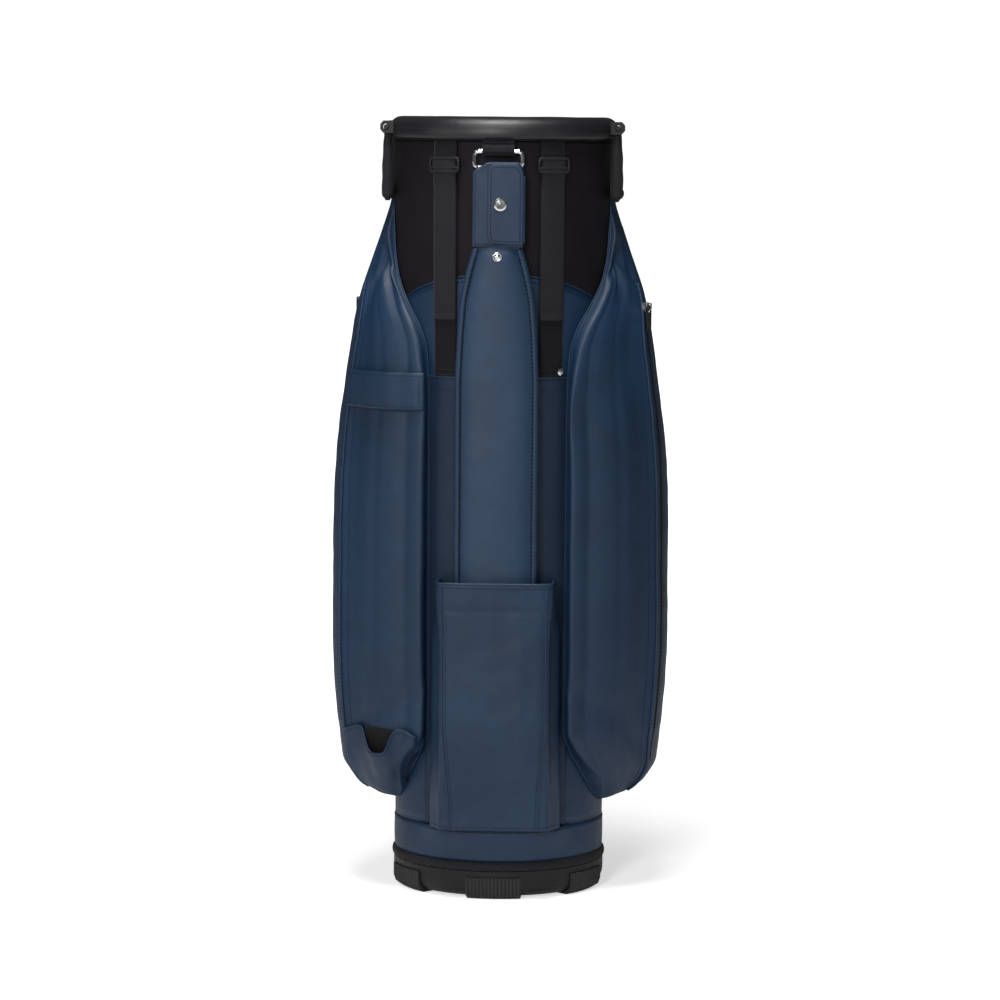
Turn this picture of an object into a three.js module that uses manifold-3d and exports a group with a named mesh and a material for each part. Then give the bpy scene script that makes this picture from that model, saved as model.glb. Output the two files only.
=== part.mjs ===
// Golf staff bag, free standing, millimetres, +Z up.
// Origin: centre of the foot ring, on the floor. The shoulder strap is on the -Y side,
// the ball pocket on the +Y side, the two long apparel pockets on -X and +X.
import * as THREE from 'three';
import { mergeVertices } from 'three/addons/utils/BufferGeometryUtils.js';
import Module from 'manifold-3d';

const wasm = await Module();
wasm.setup();

// ---------------------------------------------------------------- driving dimensions
const HEIGHT = 884;              // floor to top of cuff
const R_LOW = 119.3;             // cover radius at the base band
const R_HIGH = 124.8;            // cover radius under the cuff
const Z_LOW = 43, Z_HIGH = 790;
const SEG = 48;                  // facets of every turned ring
const TRAY_R = 121, TRAY_TOP = 32, FLOOR_Z = 9;
const FOOT_R = 123.4, FOOT_H = 25, FOOT_ARC = 30, FOOT_COUNT = 6;
const PIPING_R = 123, PIPING_TOP = 42.7;
const BAND_TOP = 81;
const BODY_TOP = 706;
const CUFF_BOTTOM = 856, CUFF_R = 131.7, CUFF_INNER = 108;
const SHELL_WALL = 3, COVER = 2;
const WALL_T = 6, WALL_BOTTOM = 10, WALL_TOP = 866;
const POCKET_GAP = 1.4;
const STRAP_TOP_Z = 843;         // axis of the ring's upper bar
const STRAP_BACK = -127.5, STRAP_T = 12;   // back face of the strap and its thickness
const STRAP_MID_Z = 573, STRAP_END_Z = 303;
const SLEEVE_TOP = 363, SLEEVE_Y = -154.5;
const WEB_X = 59, WEB_W = 29;
const HANDLE_Z = 869, HANDLE_X = 131, HANDLE_DROP = 74;

const NAVY = 0x33465f, BLACK = 0x2b2b30, DARK = 0x1c1c20, CHROME = 0xc9ccd1, WEB = 0x222228;
const leather = () => new THREE.MeshStandardMaterial({ color: NAVY, roughness: 0.55, metalness: 0 });
const blackLeather = () => new THREE.MeshStandardMaterial({ color: BLACK, roughness: 0.6, metalness: 0 });
const plastic = () => new THREE.MeshStandardMaterial({ color: DARK, roughness: 0.5, metalness: 0 });
const rubber = () => new THREE.MeshStandardMaterial({ color: 0x202024, roughness: 0.8, metalness: 0 });
const chrome = () => new THREE.MeshStandardMaterial({ color: CHROME, roughness: 0.15, metalness: 1 });
const webbing = () => new THREE.MeshStandardMaterial({ color: WEB, roughness: 0.9, metalness: 0 });
const lining = () => new THREE.MeshStandardMaterial({ color: 0x17171a, roughness: 0.95, metalness: 0 });

const bag = new THREE.Group();

// ---------------------------------------------------------------- helpers
const deg = Math.PI / 180;
// cover radius at a height
function rc(z) {
  const k = Math.min(1, Math.max(0, (z - Z_LOW) / (Z_HIGH - Z_LOW)));
  return R_LOW + (R_HIGH - R_LOW) * k;
}
function lerpTable(t, x) {
  if (x <= t[0][0]) return t[0][1];
  for (let i = 1; i < t.length; i++) {
    if (x <= t[i][0]) {
      const k = (x - t[i - 1][0]) / (t[i][0] - t[i - 1][0]);
      return t[i - 1][1] + k * (t[i][1] - t[i - 1][1]);
    }
  }
  return t[t.length - 1][1];
}
function bare(g) {
  const b = g.clone();
  for (const k of Object.keys(b.attributes)) if (k !== 'position') b.deleteAttribute(k);
  b.clearGroups();
  const m = mergeVertices(b, 1e-4);
  // drop triangles that merging has collapsed
  const idx = m.index.array, keep = [];
  for (let i = 0; i < idx.length; i += 3) {
    if (idx[i] !== idx[i + 1] && idx[i + 1] !== idx[i + 2] && idx[i] !== idx[i + 2]) keep.push(idx[i], idx[i + 1], idx[i + 2]);
  }
  m.setIndex(keep);
  return m;
}
function signedVolume(g) {
  const p = g.attributes.position, i = g.index.array;
  const a = new THREE.Vector3(), b = new THREE.Vector3(), c = new THREE.Vector3();
  let v = 0;
  for (let k = 0; k < i.length; k += 3) {
    a.fromBufferAttribute(p, i[k]); b.fromBufferAttribute(p, i[k + 1]); c.fromBufferAttribute(p, i[k + 2]);
    v += a.dot(b.cross(c)) / 6;
  }
  return v;
}
function outward(g) {
  if (signedVolume(g) < 0) {
    const i = Array.from(g.index.array);
    for (let k = 0; k < i.length; k += 3) { const t = i[k + 1]; i[k + 1] = i[k + 2]; i[k + 2] = t; }
    g.setIndex(i);
  }
  return g;
}
function warp(geometry, fn) {
  const g = bare(geometry);
  const p = g.attributes.position, v = new THREE.Vector3();
  for (let i = 0; i < p.count; i++) {
    v.fromBufferAttribute(p, i);
    const w = fn(v.x, v.y, v.z);
    p.setXYZ(i, w[0], w[1], w[2]);
  }
  return outward(bare(g));
}
function add(name, geometry, material) {
  const g = outward(bare(geometry));
  g.computeVertexNormals();
  const m = new THREE.Mesh(g, material);
  m.name = name;
  bag.add(m);
  return m;
}
function toManifold(geometry) {
  const g = outward(bare(geometry));
  return new wasm.Manifold(new wasm.Mesh({
    numProp: 3,
    vertProperties: Float32Array.from(g.attributes.position.array),
    triVerts: Uint32Array.from(g.index.array),
  }));
}
function fromManifold(m) {
  const k = m.getMesh();
  const g = new THREE.BufferGeometry();
  const pos = new Float32Array(k.numVert * 3);
  for (let i = 0; i < k.numVert; i++) for (let j = 0; j < 3; j++) pos[i * 3 + j] = k.vertProperties[i * k.numProp + j];
  g.setAttribute('position', new THREE.BufferAttribute(pos, 3));
  g.setIndex(Array.from(k.triVerts));
  return g;
}
const union = (...gs) => fromManifold(gs.map(toManifold).reduce((a, b) => a.add(b)));
const cut = (a, ...bs) => fromManifold(bs.map(toManifold).reduce((x, y) => x.subtract(y), toManifold(a)));
// turned ring or disc about the vertical axis, profile as [radius, height] pairs
function lathe(profile, seg = SEG) {
  const pts = profile.map(([r, z]) => new THREE.Vector2(r, z));
  const g = new THREE.LatheGeometry(pts, seg);
  g.rotateX(Math.PI / 2);
  return g;
}
function ring(profile, seg = SEG) { return lathe([...profile, profile[0]], seg); }
// a point on a cylinder: angle measured from -Y towards +X
const polar = (r, phi, z) => [r * Math.sin(phi), -r * Math.cos(phi), z];
function box(x0, x1, y0, y1, z0, z1) {
  const g = new THREE.BoxGeometry(x1 - x0, y1 - y0, z1 - z0);
  g.translate((x0 + x1) / 2, (y0 + y1) / 2, (z0 + z1) / 2);
  return g;
}
function roundedRect(w, h, r, cx = 0, cy = 0) {
  const s = new THREE.Shape(), x = cx - w / 2, y = cy - h / 2;
  s.moveTo(x + r, y); s.lineTo(x + w - r, y); s.quadraticCurveTo(x + w, y, x + w, y + r);
  s.lineTo(x + w, y + h - r); s.quadraticCurveTo(x + w, y + h, x + w - r, y + h);
  s.lineTo(x + r, y + h); s.quadraticCurveTo(x, y + h, x, y + h - r);
  s.lineTo(x, y + r); s.quadraticCurveTo(x, y, x + r, y);
  return s;
}
// extrude a shape drawn in (y, z) along x, centred
function extrudeX(shape, width, curveSegments = 5) {
  const g = new THREE.ExtrudeGeometry(shape, { depth: width, bevelEnabled: false, curveSegments });
  // shape x -> world y, shape y -> world z, depth -> world x
  return warp(g, (a, b, c) => [c - width / 2, a, b]);
}
// extrude a shape drawn in (x, z) along y from y0 to y1
function extrudeY(shape, y0, y1, curveSegments = 5) {
  const g = new THREE.ExtrudeGeometry(shape, { depth: y1 - y0, bevelEnabled: false, curveSegments });
  return warp(g, (a, b, c) => [a, y0 + c, b]);
}
// round bar along a polyline with filleted corners
class Fillet extends THREE.CurvePath {}
function barPath(points, r, closed = false) {
  const path = new Fillet(), n = points.length;
  const P = points.map((p) => new THREE.Vector3(...p));
  const at = (i) => P[(i + n) % n];
  const cutIn = (i) => at(i).clone().add(at(i - 1).clone().sub(at(i)).setLength(r));
  const cutOut = (i) => at(i).clone().add(at(i + 1).clone().sub(at(i)).setLength(r));
  const last = closed ? n : n - 1;
  for (let i = 0; i < last; i++) {
    const from = !closed && i === 0 ? at(0).clone() : cutOut(i);
    const to = !closed && i + 1 === n - 1 ? at(n - 1).clone() : cutIn(i + 1);
    path.add(new THREE.LineCurve3(from, to));
    if (closed || i + 1 < n - 1) path.add(new THREE.QuadraticBezierCurve3(to.clone(), at(i + 1).clone(), cutOut(i + 1)));
  }
  return path;
}
function circleShape(r, n = 8) {
  const s = new THREE.Shape();
  for (let i = 0; i < n; i++) {
    const a = 2 * Math.PI * i / n;
    if (i === 0) s.moveTo(r * Math.cos(a), r * Math.sin(a)); else s.lineTo(r * Math.cos(a), r * Math.sin(a));
  }
  s.closePath();
  return s;
}
function rod(points, wire, bend, steps, closed = false, sides = 8) {
  const path = barPath(points, bend, closed);
  const g = new THREE.ExtrudeGeometry(circleShape(wire, sides), { steps, extrudePath: path, bevelEnabled: false });
  if (!closed) return g;
  // on a closed loop the two end caps meet: take both away
  const m = bare(g), idx = m.index.array, count = new Map();
  const key = (k) => [idx[k], idx[k + 1], idx[k + 2]].sort((a, b) => a - b).join();
  for (let k = 0; k < idx.length; k += 3) count.set(key(k), (count.get(key(k)) || 0) + 1);
  const keep = [];
  for (let k = 0; k < idx.length; k += 3) if (count.get(key(k)) === 1) keep.push(idx[k], idx[k + 1], idx[k + 2]);
  m.setIndex(keep);
  return m;
}
// strip lying on the tube: r0..r1, centred on angle phi, from z0 to z1
function strip(r0, r1, phi, width, z0, z1, nu = 3, nv = 1) {
  return warp(new THREE.BoxGeometry(1, 1, 1, nu, nv, 1), (u, v, w) => {
    const z = z0 + (v + 0.5) * (z1 - z0);
    const r = (w < 0 ? r0 : r1) + rc(z);
    return polar(r, phi + u * width / 125, z);
  });
}

// ---------------------------------------------------------------- base
// the hub in the middle of the underside reaches the floor with the pads
add('base_tray', lathe([
  [0, 0], [30, 0], [33, 3], [111, 3], [117.6, 7.5], [TRAY_R - 0.9, 12], [TRAY_R, 18], [TRAY_R, TRAY_TOP],
  [117.5, TRAY_TOP], [117.5, FLOOR_Z], [0, FLOOR_Z],
]), plastic());

for (let i = 0; i < FOOT_COUNT; i++) {
  // L-shaped pad: a lip under the tray and a face up its side
  const s = new THREE.Shape();
  s.moveTo(92, 0); s.lineTo(115, 0); s.lineTo(121, 4); s.lineTo(FOOT_R, 11); s.lineTo(FOOT_R, FOOT_H);
  s.lineTo(TRAY_R + 0.5, FOOT_H); s.lineTo(TRAY_R + 0.5, 17.6); s.lineTo(TRAY_R - 0.3, 11.4);
  s.lineTo(117.9, 6.7); s.lineTo(111.2, 2.4); s.lineTo(92, 2.4); s.closePath();
  const g = new THREE.ExtrudeGeometry(s, { depth: 1, steps: 4, bevelEnabled: false });
  const mid = i * 60 * deg;
  add(`foot_${i + 1}`, warp(g, (r, z, t) => polar(r, mid + (t - 0.5) * FOOT_ARC * deg, z)), rubber());
}

add('base_piping', ring([
  [117.4, TRAY_TOP + 0.3], [121.4, TRAY_TOP + 0.3], [PIPING_R, 35], [PIPING_R, 40], [121.4, PIPING_TOP], [117.4, PIPING_TOP],
]), webbing());
add('base_band', ring([[117.4, PIPING_TOP + 0.3], [120.4, PIPING_TOP + 0.3], [120.4, BAND_TOP], [117.4, BAND_TOP]]), leather());

// ---------------------------------------------------------------- tube and covers
const shellR = (z) => rc(z) - COVER - 0.4;
add('tube_shell', ring([
  [117.1 - SHELL_WALL, FLOOR_Z + 0.3], [117.0, FLOOR_Z + 0.3], [117.0, Z_LOW], [shellR(Z_HIGH), Z_HIGH],
  [shellR(Z_HIGH), CUFF_BOTTOM - 0.6], [shellR(Z_HIGH) - SHELL_WALL, CUFF_BOTTOM - 0.6],
  [shellR(Z_HIGH) - SHELL_WALL, Z_HIGH], [117.0 - SHELL_WALL, Z_LOW],
]), lining());
add('body_cover', ring([
  [rc(BAND_TOP + 0.4) - COVER, BAND_TOP + 0.4], [rc(BAND_TOP + 0.4), BAND_TOP + 0.4],
  [rc(BODY_TOP), BODY_TOP], [rc(BODY_TOP) - COVER, BODY_TOP],
]), leather());
add('upper_cover', ring([
  [rc(BODY_TOP + 0.4) - COVER, BODY_TOP + 0.4], [rc(BODY_TOP + 0.4), BODY_TOP + 0.4],
  [R_HIGH, Z_HIGH], [R_HIGH, CUFF_BOTTOM - 0.6], [R_HIGH - COVER, CUFF_BOTTOM - 0.6], [R_HIGH - COVER, Z_HIGH],
]), blackLeather());

// padded cuff over the tube's top edge
add('top_cuff', ring([
  [CUFF_INNER, CUFF_BOTTOM], [CUFF_R - 3, CUFF_BOTTOM], [CUFF_R, CUFF_BOTTOM + 3], [CUFF_R, HEIGHT - 9],
  [CUFF_R - 2, HEIGHT - 3], [CUFF_R - 7, HEIGHT], [CUFF_INNER + 6, HEIGHT], [CUFF_INNER + 1, HEIGHT - 3], [CUFF_INNER, HEIGHT - 8],
]), blackLeather());

// ---------------------------------------------------------------- club dividers
const innerTop = shellR(Z_HIGH) - SHELL_WALL;
add('divider_ring', ring([
  [106, 838], [innerTop - 0.4, 838], [innerTop - 0.4, CUFF_BOTTOM - 0.6], [106, CUFF_BOTTOM - 0.6],
]), plastic());
const LONG_Y = 34, LONG_HALF = 98.4;
add('divider_long_front', box(-LONG_HALF, LONG_HALF, LONG_Y - WALL_T / 2, LONG_Y + WALL_T / 2, WALL_BOTTOM, WALL_TOP), lining());
add('divider_long_back', box(-LONG_HALF, LONG_HALF, -LONG_Y - WALL_T / 2, -LONG_Y + WALL_T / 2, WALL_BOTTOM, WALL_TOP), lining());
add('divider_cross_front', box(-WALL_T / 2, WALL_T / 2, LONG_Y + WALL_T / 2 + 0.3, 105.2, WALL_BOTTOM, WALL_TOP), lining());
add('divider_cross_middle', box(-WALL_T / 2, WALL_T / 2, -LONG_Y + WALL_T / 2 + 0.3, LONG_Y - WALL_T / 2 - 0.3, WALL_BOTTOM, WALL_TOP), lining());
add('divider_cross_back', box(-WALL_T / 2, WALL_T / 2, -105.2, -LONG_Y - WALL_T / 2 - 0.3, WALL_BOTTOM, WALL_TOP), lining());

// ---------------------------------------------------------------- long apparel pockets
// half width of the bag across both pockets, and half angle a pocket covers, by height
const SIDE_HALF = [[103, 132], [109, 152], [120, 167], [143, 182], [190, 187], [235, 190.5], [281, 192.5], [327, 193],
  [420, 193], [465, 191.5], [511, 188.5], [557, 184], [603, 178], [626, 174], [650, 170], [672, 165], [689, 160],
  [707, 153.5], [725, 147], [744, 140.5], [762, 134.5], [780, 129], [789, 127.4]];
const SIDE_ARC = [[103, 16], [110, 22], [125, 30], [150, 38], [180, 46], [625, 46], [650, 42], [672, 34], [700, 23], [725, 17], [760, 13], [789, 10]];
const SIDE_SECTION = [[0, 1], [0.2, 0.985], [0.34, 0.93], [0.48, 0.6], [0.645, 0.3], [0.82, 0.13], [1, 0]];
const SIDE_Z = [103, 106, 110, 118, 130, 146, 165, 190, 250, 327, 420, 500, 560, 603, 640, 665, 689, 712, 735, 762, 789];
function sideRadius(t, z) {
  const edge = rc(z) + POCKET_GAP + 2.2;
  return Math.max(edge, edge + (lerpTable(SIDE_HALF, z) - edge) * lerpTable(SIDE_SECTION, Math.abs(t)));
}
const SIDE_T = [-1, -0.82, -0.645, -0.48, -0.34, -0.2, 0, 0.2, 0.34, 0.48, 0.645, 0.82, 1];
for (const side of [-1, 1]) {
  const nu = SIDE_T.length - 1, nv = SIDE_Z.length - 1;
  const g = new THREE.BoxGeometry(1, 1, 1, nu, nv, 1);
  add(side < 0 ? 'side_pocket_left' : 'side_pocket_right', warp(g, (u, v, w) => {
    const t = SIDE_T[Math.round((u + 0.5) * nu)];
    const z = SIDE_Z[Math.round((v + 0.5) * nv)];
    const phi = side * (90 + t * lerpTable(SIDE_ARC, z)) * deg;
    const r = w < 0 ? rc(z) + POCKET_GAP : sideRadius(t, z);
    return polar(r, phi, z);
  }), leather());
}

// frame of the pocket face that carries the umbrella fittings: u along the face, n off it
const FACE_A = [-84, -88], FACE_B = [-184, -52];
const FL = Math.hypot(FACE_B[0] - FACE_A[0], FACE_B[1] - FACE_A[1]);
const FU = [(FACE_B[0] - FACE_A[0]) / FL, (FACE_B[1] - FACE_A[1]) / FL];
const FNN = [-0.339, -0.941];
const faceMid = [(FACE_A[0] + FACE_B[0]) / 2, (FACE_A[1] + FACE_B[1]) / 2];
const onFace = (u, n, z) => [faceMid[0] + FU[0] * u + FNN[0] * n, faceMid[1] + FU[1] * u + FNN[1] * n, z];
{
  // strap across the face, held at both ends and standing off in the middle
  const g = warp(new THREE.BoxGeometry(1, 1, 1, 10, 1, 1), (u, v, w) => {
    const lift = 10 * (1 - Math.pow(Math.abs(2 * u), 2.2));
    return onFace(u * 86 - 2, 7.5 + lift + (w < 0 ? 0 : 2.2), 574.5 + v * 43);
  });
  add('umbrella_loop', g, leather());
}
{
  // open-topped cup, D-shaped in plan, with its flat wall against the pocket
  const outer = new THREE.Shape(), inner = new THREE.Shape();
  const A = 44, B = 30, W = 2.4, n = 10;
  for (let i = 0; i <= n; i++) {
    const a = Math.PI * i / n;
    const x = -A * Math.cos(a), y = B * Math.pow(Math.sin(a), 0.8);
    if (i === 0) outer.moveTo(x, y); else outer.lineTo(x, y);
    const xi = -(A - W) * Math.cos(a), yi = W + (B - 2 * W) * Math.pow(Math.sin(a), 0.8);
    if (i === 0) inner.moveTo(xi, yi); else inner.lineTo(xi, yi);
  }
  outer.closePath(); inner.closePath();
  const z0 = 104, z1 = 184;
  // narrows and draws in towards the rounded foot of the pocket
  const TAPER = [[104, 0.42], [108, 0.55], [114, 0.68], [122, 0.8], [134, 0.91], [150, 0.985], [184, 1.0]];
  const DRAW = [[104, -9], [108, -5], [116, -1], [126, 3], [140, 5], [184, 6]];
  const taper = (z) => lerpTable(TAPER, z), draw = (z) => lerpTable(DRAW, z);
  const o = warp(new THREE.ExtrudeGeometry(outer, { depth: 1, steps: 8, bevelEnabled: false }), (x, y, t) => {
    const z = z0 + t * t * 0.5 * (z1 - z0) + t * 0.5 * (z1 - z0); return onFace(x * taper(z) + 2, draw(z) + y * (0.45 + 0.55 * taper(z)), z);
  });
  const i = warp(new THREE.ExtrudeGeometry(inner, { depth: 1, steps: 8, bevelEnabled: false }), (x, y, t) => {
    const z = z0 + W + t * (z1 - z0 - W + 1); return onFace(x * taper(z) + 2, draw(z) + y * (0.45 + 0.55 * taper(z)), z);
  });
  add('umbrella_cup', cut(o, i), leather());
}

// ---------------------------------------------------------------- strap sleeve
{
  const top = 64, low = 60, W = 2.4;
  const y1 = SLEEVE_Y;
  const outline = (inset, backY) => {
    const s = new THREE.Shape(), h = top - inset, f = y1 + inset;
    s.moveTo(-h, backY); s.lineTo(-h + 1, f + 16); s.lineTo(-h + 6, f + 5); s.lineTo(-h + 16, f);
    s.lineTo(h - 16, f); s.lineTo(h - 6, f + 5); s.lineTo(h - 1, f + 16); s.lineTo(h, backY); s.closePath();
    return s;
  };
  const z0 = BAND_TOP + 0.4, z1 = SLEEVE_TOP;
  const shape = (s, a, b) => warp(new THREE.ExtrudeGeometry(s, { depth: 1, steps: 1, bevelEnabled: false }), (x, y, t) => {
    const z = a + t * (b - a), k = (low + (top - low) * (z - z0) / (z1 - z0)) / top;
    return [x * k, y, z];
  });
  // the tube's own cover closes the back, with a small gap
  const tube = lathe([[0, 60], [rc(60) + 0.6, 60], [rc(400) + 0.6, 400], [0, 400]], 120);
  const solid = cut(shape(outline(0, -95), z0, z1), tube);
  add('strap_sleeve', cut(solid, shape(outline(W, -60), z0 + W, z1 + 5)), leather());
}

// ---------------------------------------------------------------- front pockets (+Y)
// zs: bottom and top, a: half width, d: depth off the cover
function frontPocket(name, z0, z1, a, d, arc) {
  const V = [0, 0.03, 0.08, 0.16, 0.3, 0.5, 0.7, 0.84, 0.92, 0.97, 1];
  const T = [-1, -0.8, -0.62, -0.5, -0.38, -0.2, 0, 0.2, 0.38, 0.5, 0.62, 0.8, 1];
  const nu = T.length - 1, nv = V.length - 1;
  const g = new THREE.BoxGeometry(1, 1, 1, nu, nv, 1);
  add(name, warp(g, (u, v, w) => {
    const t = T[Math.round((u + 0.5) * nu)], k = V[Math.round((v + 0.5) * nv)];
    const z = z0 + (z1 - z0) * k;
    const end = Math.pow(1 - Math.pow(Math.abs(2 * k - 1), 5), 1 / 4);
    const psi = t * arc * deg;
    const base = rc(z) + POCKET_GAP;
    const b = rc(z) + 2.5 + (d - 2.5) * end;
    const half = a * (0.94 + 0.06 * end);
    const n = 7;
    const se = Math.pow(Math.pow(Math.abs(Math.sin(psi)) / half, n) + Math.pow(Math.cos(psi) / b, n), -1 / n);
    const r = w < 0 ? base : Math.max(base + 2.2, Math.abs(t) > 0.99 ? base + 2.2 : se);
    return [r * Math.sin(psi), r * Math.cos(psi), z];
  }), leather());
}
frontPocket('ball_pocket', 92, 336, 80, 74, 40);
frontPocket('accessory_pocket', 346, 522, 76, 54, 38.5);
frontPocket('valuables_pocket', 532, 668, 68, 34, 33.5);

// ---------------------------------------------------------------- zip sliders and pull tabs
// slider: rounded block at p; tab: thin plate hanging just below it. yaw turns both about Z.
function zipPair(name, p, yaw, out) {
  const place = (g) => { g.rotateZ(yaw); g.translate(p[0], p[1], p[2]); return g; };
  // local frame: +Y faces away from the pocket
  const body = new THREE.ExtrudeGeometry(roundedRect(9, 11, 3), { depth: 4.5, bevelEnabled: false, curveSegments: 3 });
  const b = warp(body, (x, y, t) => [x, t, y]);
  const arch = new THREE.Shape();
  arch.moveTo(4.2, -3.4); arch.lineTo(8.8, -3.4); arch.lineTo(10.2, -2.2); arch.lineTo(10.2, 3.9); arch.lineTo(8.8, 5.1); arch.lineTo(4.2, 5.1); arch.closePath();
  const eye = new THREE.Path();
  eye.moveTo(5.2, -2.2); eye.lineTo(5.2, 4.0); eye.lineTo(9.1, 4.0); eye.lineTo(9.1, -2.2); eye.closePath();
  arch.holes.push(eye);
  add(`zip_slider_${name}`, place(union(b, extrudeX(arch, 2.2))), chrome());
  const tab = new THREE.ExtrudeGeometry(roundedRect(7, 30, 2.5), { depth: 2, bevelEnabled: false, curveSegments: 3 });
  // slot under the top bar, so that the bar turns inside the slider's bridge
  const hole = new THREE.ExtrudeGeometry(roundedRect(4, 6.2, 1, 0, 10.1), { depth: 2, bevelEnabled: false, curveSegments: 3 });
  const t = warp(cut(tab, hole), (x, y, z) => [x, 6.2 + z, y - 13]);
  add(`pull_tab_${name}`, place(t), webbing());
}
zipPair('ball', [-40, rc(300) + 74 + 1.0, 306], 0);
zipPair('accessory', [-38, rc(490) + 54 + 1.0, 498], 0);
zipPair('valuables', [-34, rc(640) + 34 + 1.0, 648], 0);
// side pockets: the right zip runs down the outer corner that faces the strap side
const SIDE_ZIP_Z = 668;
zipPair('right', [162.1, -36.0, SIDE_ZIP_Z], -2.18);
// the left one runs down the rear corner, clear of the umbrella holder
zipPair('left', [-162.1, 36.0, SIDE_ZIP_Z], Math.PI - 2.18);

// ---------------------------------------------------------------- strap fittings
const RING_Y = STRAP_BACK - STRAP_T / 2;
{
  // webbing loop stitched to the cover, with a bore for the ring's upper bar
  const s = new THREE.Shape();
  s.moveTo(-125.5, 837.6); s.lineTo(-125.5, 855); s.lineTo(-128.4, 855); s.lineTo(-129.5, 849);
  s.lineTo(-136.8, 848); s.lineTo(-138.6, 845.6); s.lineTo(-138.6, 840.4); s.lineTo(-136.6, 837.6); s.closePath();
  const h = new THREE.Path();
  for (let i = 0; i < 16; i++) {
    const a = -2 * Math.PI * i / 16, x = RING_Y + 3.1 * Math.cos(a), y = STRAP_TOP_Z + 3.1 * Math.sin(a);
    if (i === 0) h.moveTo(x, y); else h.lineTo(x, y);
  }
  h.closePath(); s.holes.push(h);
  add('strap_anchor', extrudeX(s, 36), webbing());
}
const RING_HALF = 26.5, RING_LOW = 826;
add('d_ring', rod([
  [-RING_HALF, RING_Y, STRAP_TOP_Z], [RING_HALF, RING_Y, STRAP_TOP_Z], [RING_HALF, RING_Y, RING_LOW], [-RING_HALF, RING_Y, RING_LOW],
], 2.5, 5, 36, true, 7), chrome());
{
  // leather wrap: narrow neck bored for the lower bar, wider body below
  const s = new THREE.Shape();
  s.moveTo(STRAP_BACK, 812); s.lineTo(STRAP_BACK, 829); s.lineTo(STRAP_BACK - 2, 832); s.lineTo(STRAP_BACK - STRAP_T + 2, 832);
  s.lineTo(STRAP_BACK - STRAP_T, 829); s.lineTo(STRAP_BACK - STRAP_T, 812); s.closePath();
  const h = new THREE.Path();
  for (let i = 0; i < 16; i++) {
    const a = -2 * Math.PI * i / 16, x = RING_Y + 3.1 * Math.cos(a), y = RING_LOW + 3.1 * Math.sin(a);
    if (i === 0) h.moveTo(x, y); else h.lineTo(x, y);
  }
  h.closePath(); s.holes.push(h);
  const neck = extrudeX(s, 40);
  const body = new THREE.Shape();
  body.moveTo(-28.5, 741); body.lineTo(-28.5, 812); body.lineTo(-22, 819.5); body.lineTo(22, 819.5); body.lineTo(28.5, 812);
  body.lineTo(28.5, 741); body.lineTo(24, 736); body.lineTo(-24, 736); body.closePath();
  add('strap_wrap', union(neck, extrudeY(body, STRAP_BACK - STRAP_T, STRAP_BACK)), leather());
}
const FLAP_Y = STRAP_BACK - STRAP_T - 0.5, FLAP_T = 2.2, SNAP_X = 3;
{
  const s = new THREE.Shape();
  s.moveTo(28.3, 742); s.lineTo(28.3, 826); s.lineTo(-7, 826); s.lineTo(-11, 821); s.lineTo(-11, 750); s.quadraticCurveTo(-11, 740, -1, 740);
  s.lineTo(26, 740); s.closePath();
  const h = new THREE.Path();
  for (let i = 0; i < 14; i++) {
    const a = -2 * Math.PI * i / 14, x = SNAP_X + 5.4 * Math.cos(a), y = 785 + 5.4 * Math.sin(a);
    if (i === 0) h.moveTo(x, y); else h.lineTo(x, y);
  }
  h.closePath(); s.holes.push(h);
  add('wrap_flap', extrudeY(s, FLAP_Y - FLAP_T, FLAP_Y), leather());
}
function button(name, x, z, r, y0, y1, mat, crown = 0.8) {
  // turned about the Y axis: flat back at y1, crowned front at y0
  const g = new THREE.LatheGeometry([
    new THREE.Vector2(0, y1), new THREE.Vector2(r, y1), new THREE.Vector2(r, y0 + crown), new THREE.Vector2(r * 0.75, y0 + crown * 0.3), new THREE.Vector2(0, y0),
  ], 20);
  g.translate(x, 0, z);
  add(name, g, mat);
}
button('snap_stud', SNAP_X, 785, 3.6, FLAP_Y - 1.6, STRAP_BACK - STRAP_T - 0.3, chrome(), 0.4);
button('snap_cap', SNAP_X, 785, 7.4, FLAP_Y - FLAP_T - 3, FLAP_Y - FLAP_T - 0.3, chrome());

// ---------------------------------------------------------------- shoulder strap pad, two lengths
const STRAP_W = [[303, 92], [363, 93], [589, 93.5], [640, 89], [678, 83], [710, 70], [735, 56], [745, 54]];
function strapPad(name, zs, hollowTop) {
  const nv = zs.length - 1;
  const g = new THREE.BoxGeometry(1, 1, 1, 4, nv, 1);
  const T = [-1, -0.8, 0, 0.8, 1];
  add(name, warp(g, (u, v, w) => {
    const z = zs[Math.round((v + 0.5) * nv)], t = T[Math.round((u + 0.5) * 4)];
    const half = lerpTable(STRAP_W, z) / 2;
    const thin = Math.abs(t) > 0.9 ? 4.5 : 0;
    return [t * half, w < 0 ? STRAP_BACK - thin : STRAP_BACK - STRAP_T + thin, z];
  }), leather());
}
strapPad('strap_pad_upper', [STRAP_MID_Z + 0.4, 589, 640, 678, 710, 735.4]);
strapPad('strap_pad_lower', [STRAP_END_Z, 363, 470, STRAP_MID_Z - 0.4]);
button('wrap_rivet', 0, 727, 5, STRAP_BACK - STRAP_T - 2.2, STRAP_BACK - STRAP_T - 0.3, chrome(), 0.8);

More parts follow.
